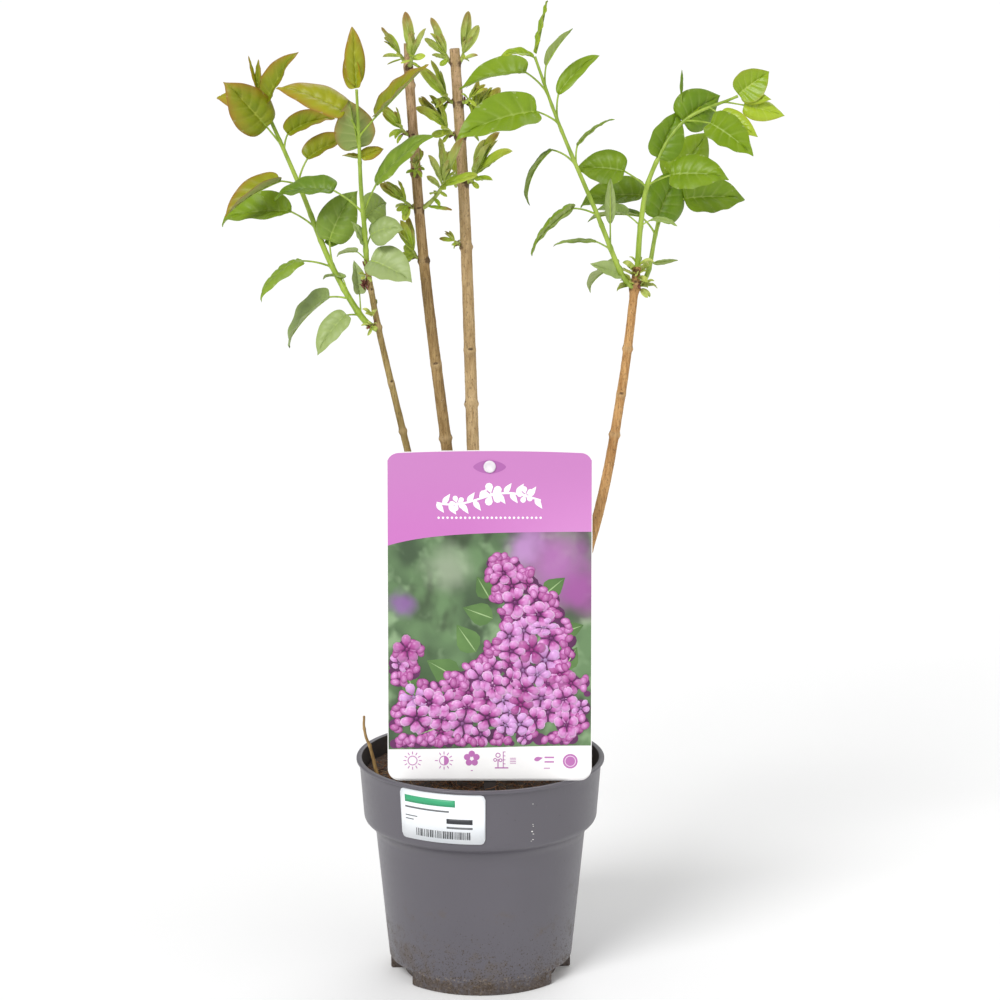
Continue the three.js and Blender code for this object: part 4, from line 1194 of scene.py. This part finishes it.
# Tufts: cane, height, turn, rise, length of the twig, length of the leaves, pairs of leaves.
tufts = {
    "tuft_b3": ("b", 511, 180, 52, 4, 18, 2), "tuft_b4": ("b", 489.5, 270, 45, 3, 12, 2),
    "tuft_b5": ("b", 489.5, 90, 45, 3, 14, 2), "tuft_b6": ("b", 468, 180, 44, 4, 20, 2),
    "tuft_b8": ("b", 438, 160, 68, 4, 22, 2), "tuft_c3": ("c", 527, 180, 56, 3, 26, 2),
    "tuft_c4": ("c", 527, 340, 45, 3, 14, 2), "tuft_c5": ("c", 508, 185, 50, 4, 28, 2),
    "tuft_c6": ("c", 508, 10, 66, 6, 28, 2), "tuft_c7": ("c", 480, 335, 60, 6, 27, 3),
    "tuft_c8": ("c", 480, 120, 60, 4, 21, 2), "tuft_c9": ("c", 443, 180, 45, 2, 9, 1),
}


def leafOf(row):
    at, turn, rise, droop, twist, stalk, blade = row[:7]
    angles = {"turn": turn, "rise": rise, "droop": droop, "twist": twist}
    leaf = {name: math.radians(angle) for name, angle in angles.items()}
    leaf.update(stalk=stalk, blade=blade, width=row[7] if len(row) > 7 else leafRule["share"])
    return at, leaf


def seeded(seed):
    # the repeatable numbers that the tufts' leaves are dealt with
    state = seed

    def draw():
        nonlocal state
        state = state * 16807 % 2147483647
        return state / 2147483647
    return draw


def stemLine(route, thick, joints, steps):
    line, girths = [], []
    for i in range(steps + 1):
        share = i / steps
        ring = max([hill((share - j) * route.length, 1.6) for j in joints], default=0)
        line.append(route.at(share))
        girths.append(between(*thick, share) * (1 + 0.16 * ring))
    return line, girths


def marked():
    return Bundle("vein", "edge", "along", "tone", "bloom")


def makeShoots():
    draw = random.Random(11)
    leaves = {"green": marked(), "bronze": marked(), "lime": marked()}
    stems = []
    for name, shoot in shoots.items():
        route = Route(shoot["route"])
        grown = [leafOf(row) for row in shoot["leaves"]]
        stems.append(stemLine(route, shoot["thick"], sorted({round(at, 1) for at, _ in grown}), 70))
        for at, leaf in grown:
            root = route.at(at)
            if touchesCane(root, leaf):
                continue
            kind = "green"
            if at >= shoot.get("bronze", 2):
                kind = "bronze"
            if at >= shoot.get("lime", 2):
                kind = "lime"
            look = looks["broad" if leaf["width"] >= 0.5 else "crisp" if kind == "lime" else "narrow"]
            bloom = max(0, 0.95 - 2.9 * at) * (0.7 + 0.35 * draw.random()) if kind == "green" else 0
            growBlade(leaves[kind], root, leaf, look, draw, min(bloom, 0.9))
            growStalk(stems, root, leaf, look)
    addPiece("leavesGreen", leaves["green"], [greenTop, greenUnder],
             ["shoot_d1", "shoot_d2", "shoot_d3"])
    addPiece("leavesBronze", leaves["bronze"], [bronzeTop, bronzeUnder],
             ["shoot_a1", "shoot_a2"])
    addPiece("leavesLime", leaves["lime"], [limeTop, limeUnder])
    sweepPiece("shootStems", stems, greenStem, 10)


def tuftFoot(cane, height, turn, rise):
    # where a tuft leaves its cane: on the cane's line, outside its bark, and the ways out and along
    route = caneRoutes[cane]
    start = route.at(route.atHeight(height))
    away = wayOf(math.radians(turn))
    across = Vector((away.y, -away.x, 0))
    axis = Matrix.Rotation(math.radians(rise), 3, across) @ away
    elbow = start + away * (canes[cane]["thick"][0] + 1) + Vector((0, 0, 1.5))
    return start, elbow, away, axis, across


goldenTurn = 137.5
tuftRule = {
    "around": 30, "open": 62, "closing": 48, "stray": 10, "droop": 25, "twist": (20, 60), "stalk": 0.06,
    "width": (0.42, 0.12), "heartNarrower": 0.15, "rootFrom": 0.35, "rootRise": 0.6,
    "stem": (1.3, 1.25, 1.1, 0.8),
}


def splay(axis, side, around, spread):
    # a way at an angle to the axis, turned about it; both angles in degrees
    spread = math.radians(spread)
    out = Matrix.Rotation(math.radians(around), 3, axis) @ side
    return axis * math.cos(spread) + out * math.sin(spread)


def aimed(heading, droop, twist, stalk, blade, width):
    # a leaf that sets out along heading; droop and twist in radians
    rise = math.asin(max(-1, min(1, heading.z)))
    return {"turn": math.atan2(heading.y, heading.x), "rise": rise, "droop": droop, "twist": twist,
            "stalk": stalk, "blade": blade, "width": width}


def growTuft(leaves, stems, sizes, seed, draw):
    cane, height, turn, rise, length, size, pairs = sizes
    chance = seeded(seed)
    start, elbow, _, axis, across = tuftFoot(cane, height, turn, rise)
    tip = elbow + axis * length
    side = axis.cross(across).normalized()
    for pair in range(pairs):
        inner = pair / (pairs - 1) if pairs > 1 else 1
        for way in (0, 180):
            around = 90 * pair + way + tuftRule["around"] * (chance() - 0.5)
            spread = tuftRule["open"] - tuftRule["closing"] * inner + tuftRule["stray"] * (chance() - 0.5)
            heading = splay(axis, side, around, spread)
            long = size * (0.5 + 0.5 * inner) * (0.8 + 0.3 * chance())
            droop = math.radians(tuftRule["droop"] * chance())
            twist = math.radians(tuftRule["twist"][0] + tuftRule["twist"][1] * chance())
            width = tuftRule["width"][0] + tuftRule["width"][1] * chance()
            stalk = tuftRule["stalk"]
            leaf = aimed(heading, droop, twist, stalk * long, (1 - stalk) * long, width)
            root = elbow.lerp(tip, tuftRule["rootFrom"] + tuftRule["rootRise"] * inner)
            if not touchesCane(root, leaf):
                leaf["width"] *= 1 - tuftRule["heartNarrower"] * inner
                growBlade(leaves, root, leaf, looks["young"], draw, 0.15 + 0.7 * inner * draw.random() ** 0.7)
                growStalk(stems, root, leaf, looks["young"])
    addFinerLeaves(leaves, elbow, tip, axis, side, size, draw)
    stems.append(([start, elbow, elbow.lerp(tip, 0.5), tip], tuftRule["stem"]))


finer = {"count": 12, "foot": 7, "footSize": 0.42, "footMost": 9, "heartSize": 0.8}


def addFinerLeaves(leaves, elbow, tip, axis, side, size, draw):
    # small blunt leaves round the foot and slim ones at the heart
    for i in range(finer["count"]):
        foot = i < finer["foot"]
        around = goldenTurn * i + 30 * (draw.random() - 0.5)
        heading = splay(axis, side, around, 95 - 8 * i if foot else 8 + 14 * draw.random())
        long = min(size * finer["footSize"], finer["footMost"]) if foot else size * finer["heartSize"]
        long *= 0.7 + 0.5 * draw.random()
        droop = math.radians(45 * draw.random() if foot else -8)
        leaf = aimed(heading, droop, math.radians(80 * draw.random() - 20), 0.3, long, 0.58 if foot else 0.4)
        root = elbow.lerp(tip, 0.1 + 0.1 * i if foot else 0.9)
        if not touchesCane(root, leaf):
            growBlade(leaves, root, leaf, looks["young"], draw, 0.05 if foot else 0.25 + 0.5 * draw.random())


def makeYoung():
    draw = random.Random(23)
    leaves = marked()
    stems = []
    for shoot in youngShoots.values():
        route = Route(shoot["route"])
        stems.append(stemLine(route, shoot["thick"], (0.3, 0.7), 16))
        for at, leaf in (leafOf(row) for row in shoot["leaves"]):
            root = route.at(at)
            if not touchesCane(root, leaf):
                growBlade(leaves, root, leaf, looks["young"], draw, 0.2 + 0.75 * draw.random())
                growStalk(stems, root, leaf, looks["young"])
        start, end = route.at(0.35), route.at(1)
        axis = (end - start).normalized()
        side = axis.cross(Vector((0.1, 1, 0.2))).normalized()
        addFinerLeaves(leaves, start, end, axis, side, 17, draw)
    for index, sizes in enumerate(tufts.values()):
        growTuft(leaves, stems, sizes, 101 + 37 * index, draw)
    addPiece("leavesYoung", leaves, [youngTop, youngUnder], [*youngShoots, *tufts])
    sweepPiece("tuftStems", stems, youngStem, 8)


# Bud scales and first small leaves round the feet of the shoots: centre, direction, count, length,
# spread in degrees, 0 for maroon or 1 for green.
scaleGroups = [
    ((-66, -18, 422), (-0.15, -0.1, 1), 12, 5.5, 32, 0),
    ((-65.7, -18.4, 434), (-0.1, -0.2, 1), 8, 6, 28, 0),
    ((-62, -15.5, 400), (-0.6, -0.5, 0.7), 7, 5, 45, 0),
    ((-65.7, -18.4, 431), (-0.1, -0.6, 0.6), 5, 8, 50, 1),
    ((-62.5, -17, 401), (-0.4, -0.7, 0.4), 6, 6.5, 55, 1),
    ((-62.5, -16.5, 406), (0, -0.3, 1), 4, 10, 25, 1),
    ((92, -2, 428), (0, -0.3, 1), 8, 12, 58, 1), ((92.3, -2, 433), (0.1, -0.3, 1), 6, 10, 50, 1),
    ((89.5, -2.6, 423), (-0.8, -0.35, 0.65), 6, 13, 42, 1), ((94, -0.4, 421), (0.8, -0.3, 0.3), 6, 10, 50, 1),
    ((92, -2.4, 424), (0, -0.8, 0.4), 6, 5, 55, 0),
]


def makeScales():
    draw = random.Random(5)
    scales = marked()
    for centre, way, count, long, spread, green in scaleGroups:
        axis = Vector(way).normalized()
        side = axis.cross(Vector((0.2, 1, 0.1))).normalized()
        before = len(scales.kinds)
        for i in range(count):
            heading = splay(axis, side, goldenTurn * i, spread * (0.5 + 0.7 * draw.random()))
            leaf = aimed(heading, 0.5 * green, draw.random(), 1.2, long * (0.5 + 0.6 * draw.random()),
                         0.4 + 0.15 * green)
            growBlade(scales, Vector(centre) + axis * (0.35 * i - 1), leaf, looks["scale"], draw)
        scales.kinds[before:] = [green] * (len(scales.kinds) - before)
    for sizes in tufts.values():
        _, elbow, away, axis, across = tuftFoot(*sizes[:4])
        for i in range(6):
            heading = splay(axis, across, 60 * i + 20, 50 + 25 * draw.random())
            leaf = aimed(heading, 0.2, draw.random(), 0.3, 2.4 + 1.4 * draw.random(), 0.6)
            growBlade(scales, elbow - away * 1.1 - Vector((0, 0, 0.6)), leaf, looks["scale"], draw)
    addPiece("budScales", scales, [maroonScale, greenScale])


makeShoots()
makeYoung()
makeScales()
print("leaves")


# The tag: the frame's card, back and stake keep their shape, and the print lies on them.
tag = {
    "at": (5.8, -53, 135.6), "lean": 5.6, "thick": 0.7, "half": 59.75, "corner": 7, "cornerAt": 53.25,
    "top": 194.5, "crown": 1.1, "inset": 0.5, "ink": 0.06, "button": 186, "eye": (9.6, 3.9),
}
tagFrame = Matrix.Translation(Vector(tag["at"])) @ Matrix.Rotation(math.radians(90 - tag["lean"]), 4, "X")


def onTag(x, y, lift=0.0):
    return tagFrame @ Vector((x, y, tag["thick"] + lift))


def cardTop(x):
    # the header's ink ends a little below the card's edge
    top = tag["top"] - tag["inset"]
    if abs(x) > tag["cornerAt"]:
        drop = (abs(x) - tag["cornerAt"]) / tag["corner"]
        return top - tag["corner"] + tag["corner"] * math.sqrt(max(0, 1 - drop ** 2))
    return top + tag["crown"] * (1 - (x / tag["cornerAt"]) ** 2)


def headerEdge(x):
    return 147.6 - 8.4 * math.exp(-(x + 60) / 27)


def stripEdge(x):
    return 18.9 + 1.15 * math.sin(x / 40)


def addShape(bundle, centre, outline, lift, kind=0, **marks):
    # a flat shape on the tag, fanned about its centre
    count = len(outline)
    points = [onTag(*centre, lift)] + [onTag(centre[0] + x, centre[1] + y, lift) for x, y in outline]
    faces = [(0, 1 + i, 1 + (i + 1) % count) for i in range(count)]
    bundle.add(points, faces, kind, **marks)


def addBand(bundle, low, high, lift):
    # a flat band between two lines of points
    count = len(low)
    points = [onTag(*p, lift) for p in [*low, *high]]
    bundle.add(points, [(i, i + 1, count + i + 1, count + i) for i in range(count - 1)])


def turned(spots, turn):
    c, s = math.cos(turn), math.sin(turn)
    return [(x * c - y * s, x * s + y * c) for x, y in spots]


def oval(long, wide, turn=0.0, count=18):
    return turned([(long * math.cos(t), wide * math.sin(t)) for t in turnsOf(count)], turn)


def addBar(bundle, start, end, wide, lift):
    way = Vector((end[0] - start[0], end[1] - start[1])).normalized() * wide / 2
    low, high = ([(x + out * way.y, y - out * way.x) for x, y in (start, end)] for out in (1, -1))
    addBand(bundle, low, high, lift)


def addRing(bundle, centre, inner, outer, lift):
    turns = [math.radians(360 * i / 28) for i in range(29)]
    low, high = ([onCircle(centre, radius, turn) for turn in turns] for radius in (outer, inner))
    addBand(bundle, low, high, lift)


def addLeafShape(bundle, root, turn, long, wide, lift, kind=0, **marks):
    # a pointed leaf from its root
    spots = [(0, 0), (0.12, 0.32), (0.3, 0.5), (0.5, 0.47), (0.75, 0.25), (1, 0)]
    mid = 0.45 * long
    ring = [(x * long - mid, -y * wide) for x, y in spots]
    ring += [(x, -y) for x, y in ring[-2:0:-1]]
    addShape(bundle, onCircle(root, mid, turn), turned(ring, turn), lift, kind, **marks)


# A petal from its middle round its rim, with the tone of each point: 0 in the eye, 1 at the edge.
petalShape = [(0.6, 0.0), (0.1, 0.0), (0.3, 0.15), (0.58, 0.33), (0.84, 0.3), (1.0, 0.12), (1.0, -0.12),
              (0.84, -0.3), (0.58, -0.33), (0.3, -0.15)]
petalTones = [0.62, 0.0, 0.3, 0.85, 1.0, 1.0, 1.0, 1.0, 0.85, 0.3]


def addBlossom(bundle, centre, size, turn, squash, lean, lift, shade=0.5):
    # five rounded petals, seen a little from the side
    c, s = math.cos(lean), math.sin(lean)

    def put(x, y):
        along, across = x * c + y * s, (-x * s + y * c) * squash
        return centre[0] + along * c - across * s, centre[1] + along * s + across * c

    for petal, way in enumerate(turnsOf(5)):
        spots = turned([(size * x, size * y) for x, y in petalShape], turn + way)
        points = [onTag(*put(x, y), lift + (0.012 * petal if i else 0.1)) for i, (x, y) in enumerate(spots)]
        faces = [(0, 1 + i, 1 + (i + 1) % 9) for i in range(9)]
        bundle.add(points, faces, 0, tone=petalTones, shade=shade)
    eye = [put(x, y) for x, y in oval(0.13 * size, 0.13 * size, 0, 8)]
    outline = [(x - centre[0], y - centre[1]) for x, y in eye]
    addShape(bundle, centre, outline, lift + 0.13, tone=0.05, shade=shade)


def printFinish(name, one, other):
    return plainFinish(name, one, other, 60, 0.34)


def addPrint(name, bundle, *finishes, film=tag["ink"]):
    addPiece(name, bundle, finishes, (), False, film)


def pictureFinish():
    # a garden out of focus
    view = Finish("pictureGarden", Roughness=0.34)
    blurs = []
    for x, y, near, wide, colour in pictureBlurs:
        spot = view.add("ShaderNodeVectorMath", {"operation": "DISTANCE"},
                        {0: view.place, 1: onTag(x, y) * metre}, "Value") / metre
        fade = 1 - (spot + view.cloud(14, 2) * 14 - 7).over(near, wide)
        blurs.append((fade * 0.85, colour))
    view.coats("#40553a", (view.cloud(34, 2).over(0.38, 0.62), "#66855a"),
               (view.cloud(13, 2).over(0.52, 0.75) * 0.8, "#92ae84"),
               (view.cloud(16, 2, (1, 1, 1.6)).over(0.5, 0.7) * 0.8, "#34422c"), *blurs)
    return view


# Soft patches in the garden: place, reach of the full colour and of its fade, colour.
pictureBlurs = [
    (38, 128, 4, 34, "#b268b2"), (54, 112, 3, 22, "#a0549c"), (20, 138, 2, 16, "#bc8cc4"),
    (-52, 104, 2, 12, "#8d62a0"), (-24, 126, 2, 20, "#98a68c"), (-44, 60, 4, 24, "#3d5734"),
]
# The panicle's lobes: place and radius. Its leaves: root, turn and length.
garland = [
    (-50, 30, 12), (-36, 38, 17), (-16, 40, 21), (4, 48, 23), (20, 62, 24), (27, 80, 20), (25, 98, 15),
    (16, 112, 11), (8, 124, 7), (34, 36, 18), (48, 46, 13), (14, 28, 12), (-52, 66, 7), (-48, 76, 5),
]
leafSpots = [
    (-18, 60, 150, 22), (-8, 76, 125, 20), (2, 96, 160, 19), (44, 88, 20, 12), (-44, 50, 110, 16),
    (44, 66, 60, 15), (-30, 31, 200, 13), (0, 108, 120, 15), (32, 110, 40, 16),
]
blossoms = {
    "tries": 9000, "across": 58, "low": 20.5, "high": 137, "apart": 7.6, "budApart": 5.2, "budReach": 1.5,
    "budRoom": 5.6, "buds": 5, "budDrift": 3.4, "bud": (2.9, 2.1), "size": 6.6, "sides": 12,
}


def blossomFinish():
    petal = Finish("petal", Roughness=0.36)
    tone, shade = petal.mark("tone"), petal.mark("shade")
    petal.coats("#6c2266", (tone.over(0.0, 0.4), "#bd5ca8"), (tone.over(0.4, 0.8), "#da92d0"),
                (tone.over(0.86, 1.0) * 0.8, "#f2d0f0"), ((1 - shade).over(0.5, 1.0) * 0.7, "#9c2f80"),
                (shade.over(0.6, 1.0) * 0.45, "#d9b4ee"))
    return petal


def headerFinish():
    pink = Finish("headerInk", Roughness=0.32)
    # over the pink ink, the top is painted greyer as painted shade and the right side lighter as painted
    # light; the cloud is random tone in the ink
    high = pink.axis("Z").over(270, 325)
    right = pink.axis("X").over(-20, 70) * (1 - high)
    pink.coats("#c772bd", (high, "#c37cbb"), (right * 0.5, "#dc9dd5"), (pink.cloud(25, 3) * 0.15, "#cf86c8"))
    return pink


def makeTag():
    dress("tag_card", tagPaper)
    dress("tag_back", tagPaper)
    dress("tag_stake", stakeFinish)
    across = [-tag["half"] + 2 * tag["half"] * i / 90 for i in range(91)]
    for name, low, high, lift, finish in (("tagPicture", stripEdge, headerEdge, 0.03, pictureFinish()),
                                          ("tagHeader", headerEdge, cardTop, 0.05, headerFinish())):
        field = Bundle()
        addBand(field, [(x, low(x)) for x in across], [(x, high(x)) for x in across], lift)
        addPrint(name, field, finish)
    makeSprig()
    makeIcons()
    makeGarland()
    makeButton()


def stemAt(x):
    return 167 + 3.4 * math.sin((x + 6) / 10.5)


sprig = {
    "from": -31, "to": 30, "steps": 40, "half": 0.6, "lift": 0.14, "leaf": (7.4, 3.3), "leaves": 17,
    "leafStep": 3.6, "leafTurn": 0.95, "flowers": ((-19, 4.6), (1, 6.8), (21, 5)),
    "dots": 24, "dotsFrom": -29.9, "dotStep": 2.6, "dotHeight": 155.8, "dot": 0.72,
}


def makeSprig():
    # a flowering stem and a row of dots in white
    white = Bundle("tone", "shade")
    lift, half = sprig["lift"], sprig["half"]
    line = [(x, stemAt(x)) for x in np.linspace(sprig["from"], sprig["to"], sprig["steps"])]
    addBand(white, [(x, y - half) for x, y in line], [(x, y + half) for x, y in line], lift)
    for i in range(sprig["leaves"]):
        x = sprig["from"] + sprig["leafStep"] * i
        turn = sprig["leafTurn"] if i % 2 else -sprig["leafTurn"]
        if min(abs(x + 2 - at) - size for at, size in sprig["flowers"]) > -2:
            addLeafShape(white, (x, stemAt(x)), turn, *sprig["leaf"], lift + 0.02)
    for x, size in sprig["flowers"]:
        addBlossom(white, (x, stemAt(x) + half), size, 0.31 * x + 0.3, 1.0, 0.0, lift + 0.06)
    for i in range(sprig["dots"]):
        dot = oval(sprig["dot"], sprig["dot"], 0, 10)
        addShape(white, (sprig["dotsFrom"] + sprig["dotStep"] * i, sprig["dotHeight"]), dot, lift)
    addPrint("tagSprig", white, printFinish("whiteInk", "#f3eef3", "#fbf8fb"))


# Heights are from the middle of the row of icons.
icons = {
    "row": 11.0, "lift": 0.05, "sun": -45.6, "halfSun": -27, "sunRing": (2.4, 2.9), "rays": 12,
    "ray": (3.7, 5.4), "line": 0.5, "flower": (-10.6, 1.2), "petals": 5, "petalAt": 2.9, "petal": 1.9,
    "flowerRing": (1.4, 3.1), "crowns": ((4.9, 3.2, 1.5), (3.2, 0.4, 1.1), (6.4, 0.2, 1.1)),
    "leaf": (26.2, 0.4), "badge": (47.6, -0.4), "badgeSize": 4.4, "badgeRing": (2.9, 3.3),
}
iconBars = [
    ((-11.2, -6), (-10, -6), 0.5), ((3, -4.4), (11, -4.4), 0.7), ((8, -4), (8, 5.4), 0.45),
    ((4.9, -4), (4.9, 1), 0.6), ((32.4, 1.9), (38, 1.9), 0.9), ((32.4, -0.8), (38, -0.8), 0.9),
    ((32, -4.6), (35.6, -4.6), 0.5),
    *[((8, 2.4 * i - 2), (9.3, 2.4 * i - 2), 0.4) for i in range(4)],
    *[((12, i - 1.6), (15.5, i - 1.6), 0.35) for i in range(4)],
]


def makeIcons():
    # full sun, half sun, a flower, the height it grows to, pruning, and a round badge
    ink, badge = Bundle(), Bundle()
    lift, row = icons["lift"], icons["row"]
    inner = icons["sunRing"][0]
    flower, stud = ((x, row + y) for x, y in (icons["flower"], icons["badge"]))
    for at in (icons["sun"], icons["halfSun"]):
        half = at == icons["halfSun"]
        addRing(ink, (at, row), *icons["sunRing"], lift)
        if half:
            side = [onCircle((-1, 0), inner, turn) for turn in np.linspace(-math.pi / 2, math.pi / 2, 14)]
            addShape(ink, (at + 1, row), side, lift + 0.01)
        for i, turn in enumerate(turnsOf(icons["rays"])):
            if not (half and 4 <= i <= 8 and i % 2):
                start, end = (onCircle((at, row), radius, turn) for radius in icons["ray"])
                addBar(ink, start, end, icons["line"], lift)
    for i in range(icons["petals"]):
        petal = onCircle(flower, icons["petalAt"], math.radians(72 * i + 18))
        addShape(ink, petal, oval(icons["petal"], icons["petal"]), lift)
    addRing(ink, flower, *icons["flowerRing"], lift + 0.01)
    for start, end, wide in iconBars:
        addBar(ink, (start[0], row + start[1]), (end[0], row + end[1]), wide, lift)
    for x, up, reach in icons["crowns"]:
        addRing(ink, (x, row + up), reach - icons["line"], reach, lift)
    addLeafShape(ink, (icons["leaf"][0], row + icons["leaf"][1]), 0.25, 5.4, 2.6, lift)
    addShape(ink, stud, oval(icons["badgeSize"], icons["badgeSize"]), lift)
    addRing(badge, stud, *icons["badgeRing"], lift + 0.09)
    addPrint("tagIcons", ink, printFinish("iconInk", "#b465ab", "#bf78b6"))
    addPrint("tagBadgeRing", badge, printFinish("badgeInk", "#e9cfe6", "#f3e4f1"), film=0.04)


def roomAt(x, y):
    # how far a spot is from the edge of the picture
    return min(tag["half"] - abs(x), y - stripEdge(x), headerEdge(x) - y)


def makeGarland():
    # blossoms dealt out over the garland, thicker where they overlap, with buds at its edge
    draw = random.Random(47)
    ground, florets, leaves = Bundle(), Bundle("tone", "shade"), Bundle("tone", "shade")
    spots = []
    across, drift, sides = blossoms["across"], blossoms["budDrift"], blossoms["sides"]
    for _ in range(blossoms["tries"]):
        x, y = draw.uniform(-across, across), draw.uniform(blossoms["low"], blossoms["high"])
        reach = max(r - math.hypot(x - cx, y - cy) for cx, cy, r in garland)
        apart = blossoms["budApart" if reach < blossoms["budReach"] else "apart"]
        if reach >= -1 and min([math.hypot(x - a, y - b) for a, b, _ in spots], default=99) >= apart:
            spots.append((x, y, reach))
    for x, y, reach in spots:
        room = roomAt(x, y)
        wide = max(min(6.5, room - 0.2, reach + 4.5), 1.2)
        addShape(ground, (x, y), oval(wide, wide * 0.9, 0, sides), 0.1 + 0.03 * draw.random())
        if reach < blossoms["budReach"] or room < blossoms["budRoom"]:
            for _ in range(blossoms["buds"]):
                bud = x + draw.uniform(-drift, drift), y + draw.uniform(-drift, drift)
                if roomAt(*bud) > 3:
                    rim = oval(*blossoms["bud"], draw.random() * 3.14, sides)
                    addShape(florets, bud, rim, 0.16 + 0.2 * draw.random(),
                             tone=[1.0] + [0.45] * sides, shade=0.1 + 0.35 * draw.random())
            continue
        size = min(room - 0.1, blossoms["size"] + 2.4 * draw.random() + 1.2 * min(1, max(0, reach / 9)))
        addBlossom(florets, (x, y), size, draw.random() * 6.28, 0.62 + 0.38 * draw.random(),
                   draw.random() * 3.14, 0.16 + 0.3 * draw.random(), draw.random() ** 0.8)
    for x, y, turn, long in leafSpots:
        turn = math.radians(turn)
        addLeafShape(leaves, (x, y), turn, long, long * 0.72, 0.1, tone=draw.random())
        addLeafShape(leaves, (x, y), turn, long * 0.94, 0.7, 0.17, 1)
    addPrint("tagLeaves", leaves, printFinish("leafInk", "#40632f", "#6c9150"),
             printFinish("ribInk", "#93b377", "#a9c48c"))
    addPrint("tagGround", ground, printFinish("plumInk", "#44193f", "#702a68"), film=0.05)
    addPiece("tagFlorets", florets, [blossomFinish()], film=0.05)


def makeButton():
    # the push-in stud's head, and behind it a darker purple eye-shaped sheet: painted shade that the stud
    # casts on the card
    spots = [(3.4, 0.3), (3.6, 0.5), (3.6, 1.0), (3.4, 1.25), (2.9, 1.45), (2.0, 1.5), (1.7, 1.35),
             (0.9, 1.25)]
    turns = turnsOf(36)
    head, lens = Bundle(), Bundle()
    head.add([onTag(*onCircle((0, tag["button"]), r, turn), z) for r, z in spots for turn in turns],
             tubeFaces(len(spots), len(turns)))
    # the eye is a sheet of painted shade, the stud's shadow on the header
    long, tall = tag["eye"]
    eye = [(long * math.cos(t), tall * math.sin(t) * (0.55 + 0.45 * abs(math.sin(t)))) for t in turnsOf(40)]
    addShape(lens, (0, tag["button"] - 0.2), eye, 0.13)
    addPrint("tagLens", lens, printFinish("lensInk", "#a457a0", "#ae66aa"))
    addPiece("tagStud", head, [plainFinish("stud", "#d9d3da", "#eae6ea", 6, 0.3)], ["tag_button"])


# The pot's label.
# Turns in degrees from the front, heights, the gap to the pot, and the printed lines: left, right, low
# and high as shares of the label, then 0 for green, 1 for grey or 2 for black.
label = {
    "from": -40, "to": 2.6, "bottom": 100.6, "top": 131.6, "gap": 0.3, "thick": 0.4, "corner": 3, "steps": 56,
    "lines": ((0.065, 0.67, 0.74, 0.88, 0), (0.065, 0.60, 0.625, 0.66, 1), (0.065, 0.22, 0.46, 0.48, 1),
              (0.065, 0.17, 0.39, 0.41, 1), (0.57, 0.86, 0.40, 0.50, 2), (0.57, 0.86, 0.30, 0.34, 1)),
    "barsFrom": 0.2, "barsTo": 0.84, "bars": (0.006, 0.009, 0.014), "gaps": (0.007, 0.01, 0.015),
    "barsLow": 0.09, "barsHigh": 0.24, "ink": 0.04,
}
# White splashes on the band: turn and height.
splashes = [(25.6, 123.8), (26, 110.8), (26.2, 109.6), (25.7, 106.4), (26.4, 104.7), (26.3, 101.2),
            (25.4, 100.4)]


def onPot(turn, height, lift):
    # a spot on the pot's band, by the turn from the front
    turn = math.radians(turn)
    radius = innerRadius(height) + pot["wall"] + lift
    return Vector((radius * math.sin(turn), -radius * math.cos(turn), height))


def onLabel(across, up, lift):
    turn, height = between(label["from"], label["to"], across), between(label["bottom"], label["top"], up)
    return onPot(turn, height, label["gap"] + lift)


def labelBar(bundle, left, right, low, high, kind):
    count = max(1, int((right - left) * 30))
    across = [between(left, right, i / count) for i in range(count + 1)]
    points = [onLabel(x, up, label["thick"] + 0.02) for up in (low, high) for x in across]
    bundle.add(points, [(i, i + 1, count + 2 + i, count + 1 + i) for i in range(count)], kind)


def makeLabel():
    sheet, ink, flecks = Bundle(), Bundle(), Bundle()
    corner, steps = label["corner"], label["steps"]
    long = math.radians(label["to"] - label["from"]) * 72
    tall = label["top"] - label["bottom"]
    points = []
    for i in range(steps + 1):
        edge = min(long * i / steps, long - long * i / steps)
        cut = corner - math.sqrt(max(0, corner ** 2 - max(0, corner - edge) ** 2))
        points += [onLabel(i / steps, v, label["thick"]) for v in (cut / tall, 0.5, 1 - cut / tall)]
    sheet.add(points, [(i, i + 3, i + 4, i + 1) for i in range(3 * steps) if i % 3 < 2])
    paper = addPiece("labelPaper", sheet, [labelPaper], ["pot_label"], film=label["thick"])
    paper.modifiers["film"].offset = -1
    for line in label["lines"]:
        labelBar(ink, *line)
    draw = random.Random(9)
    at = label["barsFrom"]
    while at < label["barsTo"]:
        wide = draw.choice(label["bars"])
        labelBar(ink, at, at + wide, label["barsLow"], label["barsHigh"], 2)
        at += wide + draw.choice(label["gaps"])
    inks = [printFinish("labelGreen", "#2f9e6a", "#3aa876"), printFinish("labelGrey", "#5a5d60", "#6b6e70"),
            printFinish("labelBlack", "#24262a", "#33353a")]
    addPiece("labelInk", ink, inks, film=label["ink"])
    draw = random.Random(4)
    for turn, height in splashes:
        reach = (0.5 * draw.uniform(0.5, 1.3), 0.3, 0.4 * draw.uniform(0.5, 1.2))
        addLump(flecks, onPot(turn, height, 0), reach, 5, 7, turn)
    addPiece("whiteFlecks", flecks, [plainFinish("fleck", "#d8d6d2", "#eceae6", 2, 0.6)])


labelPaper = plainFinish("labelPaper", "#eaeff4", "#f2f5f8", 30, 0.38)
tagPaper = plainFinish("tagPaper", "#f0eeee", "#f8f7f6", 40, 0.35)
stakeFinish = plainFinish("stakePlastic", "#2a2320", "#3a302a", 8, 0.6, 0.2)
makeTag()
makeLabel()
print("tag and label")
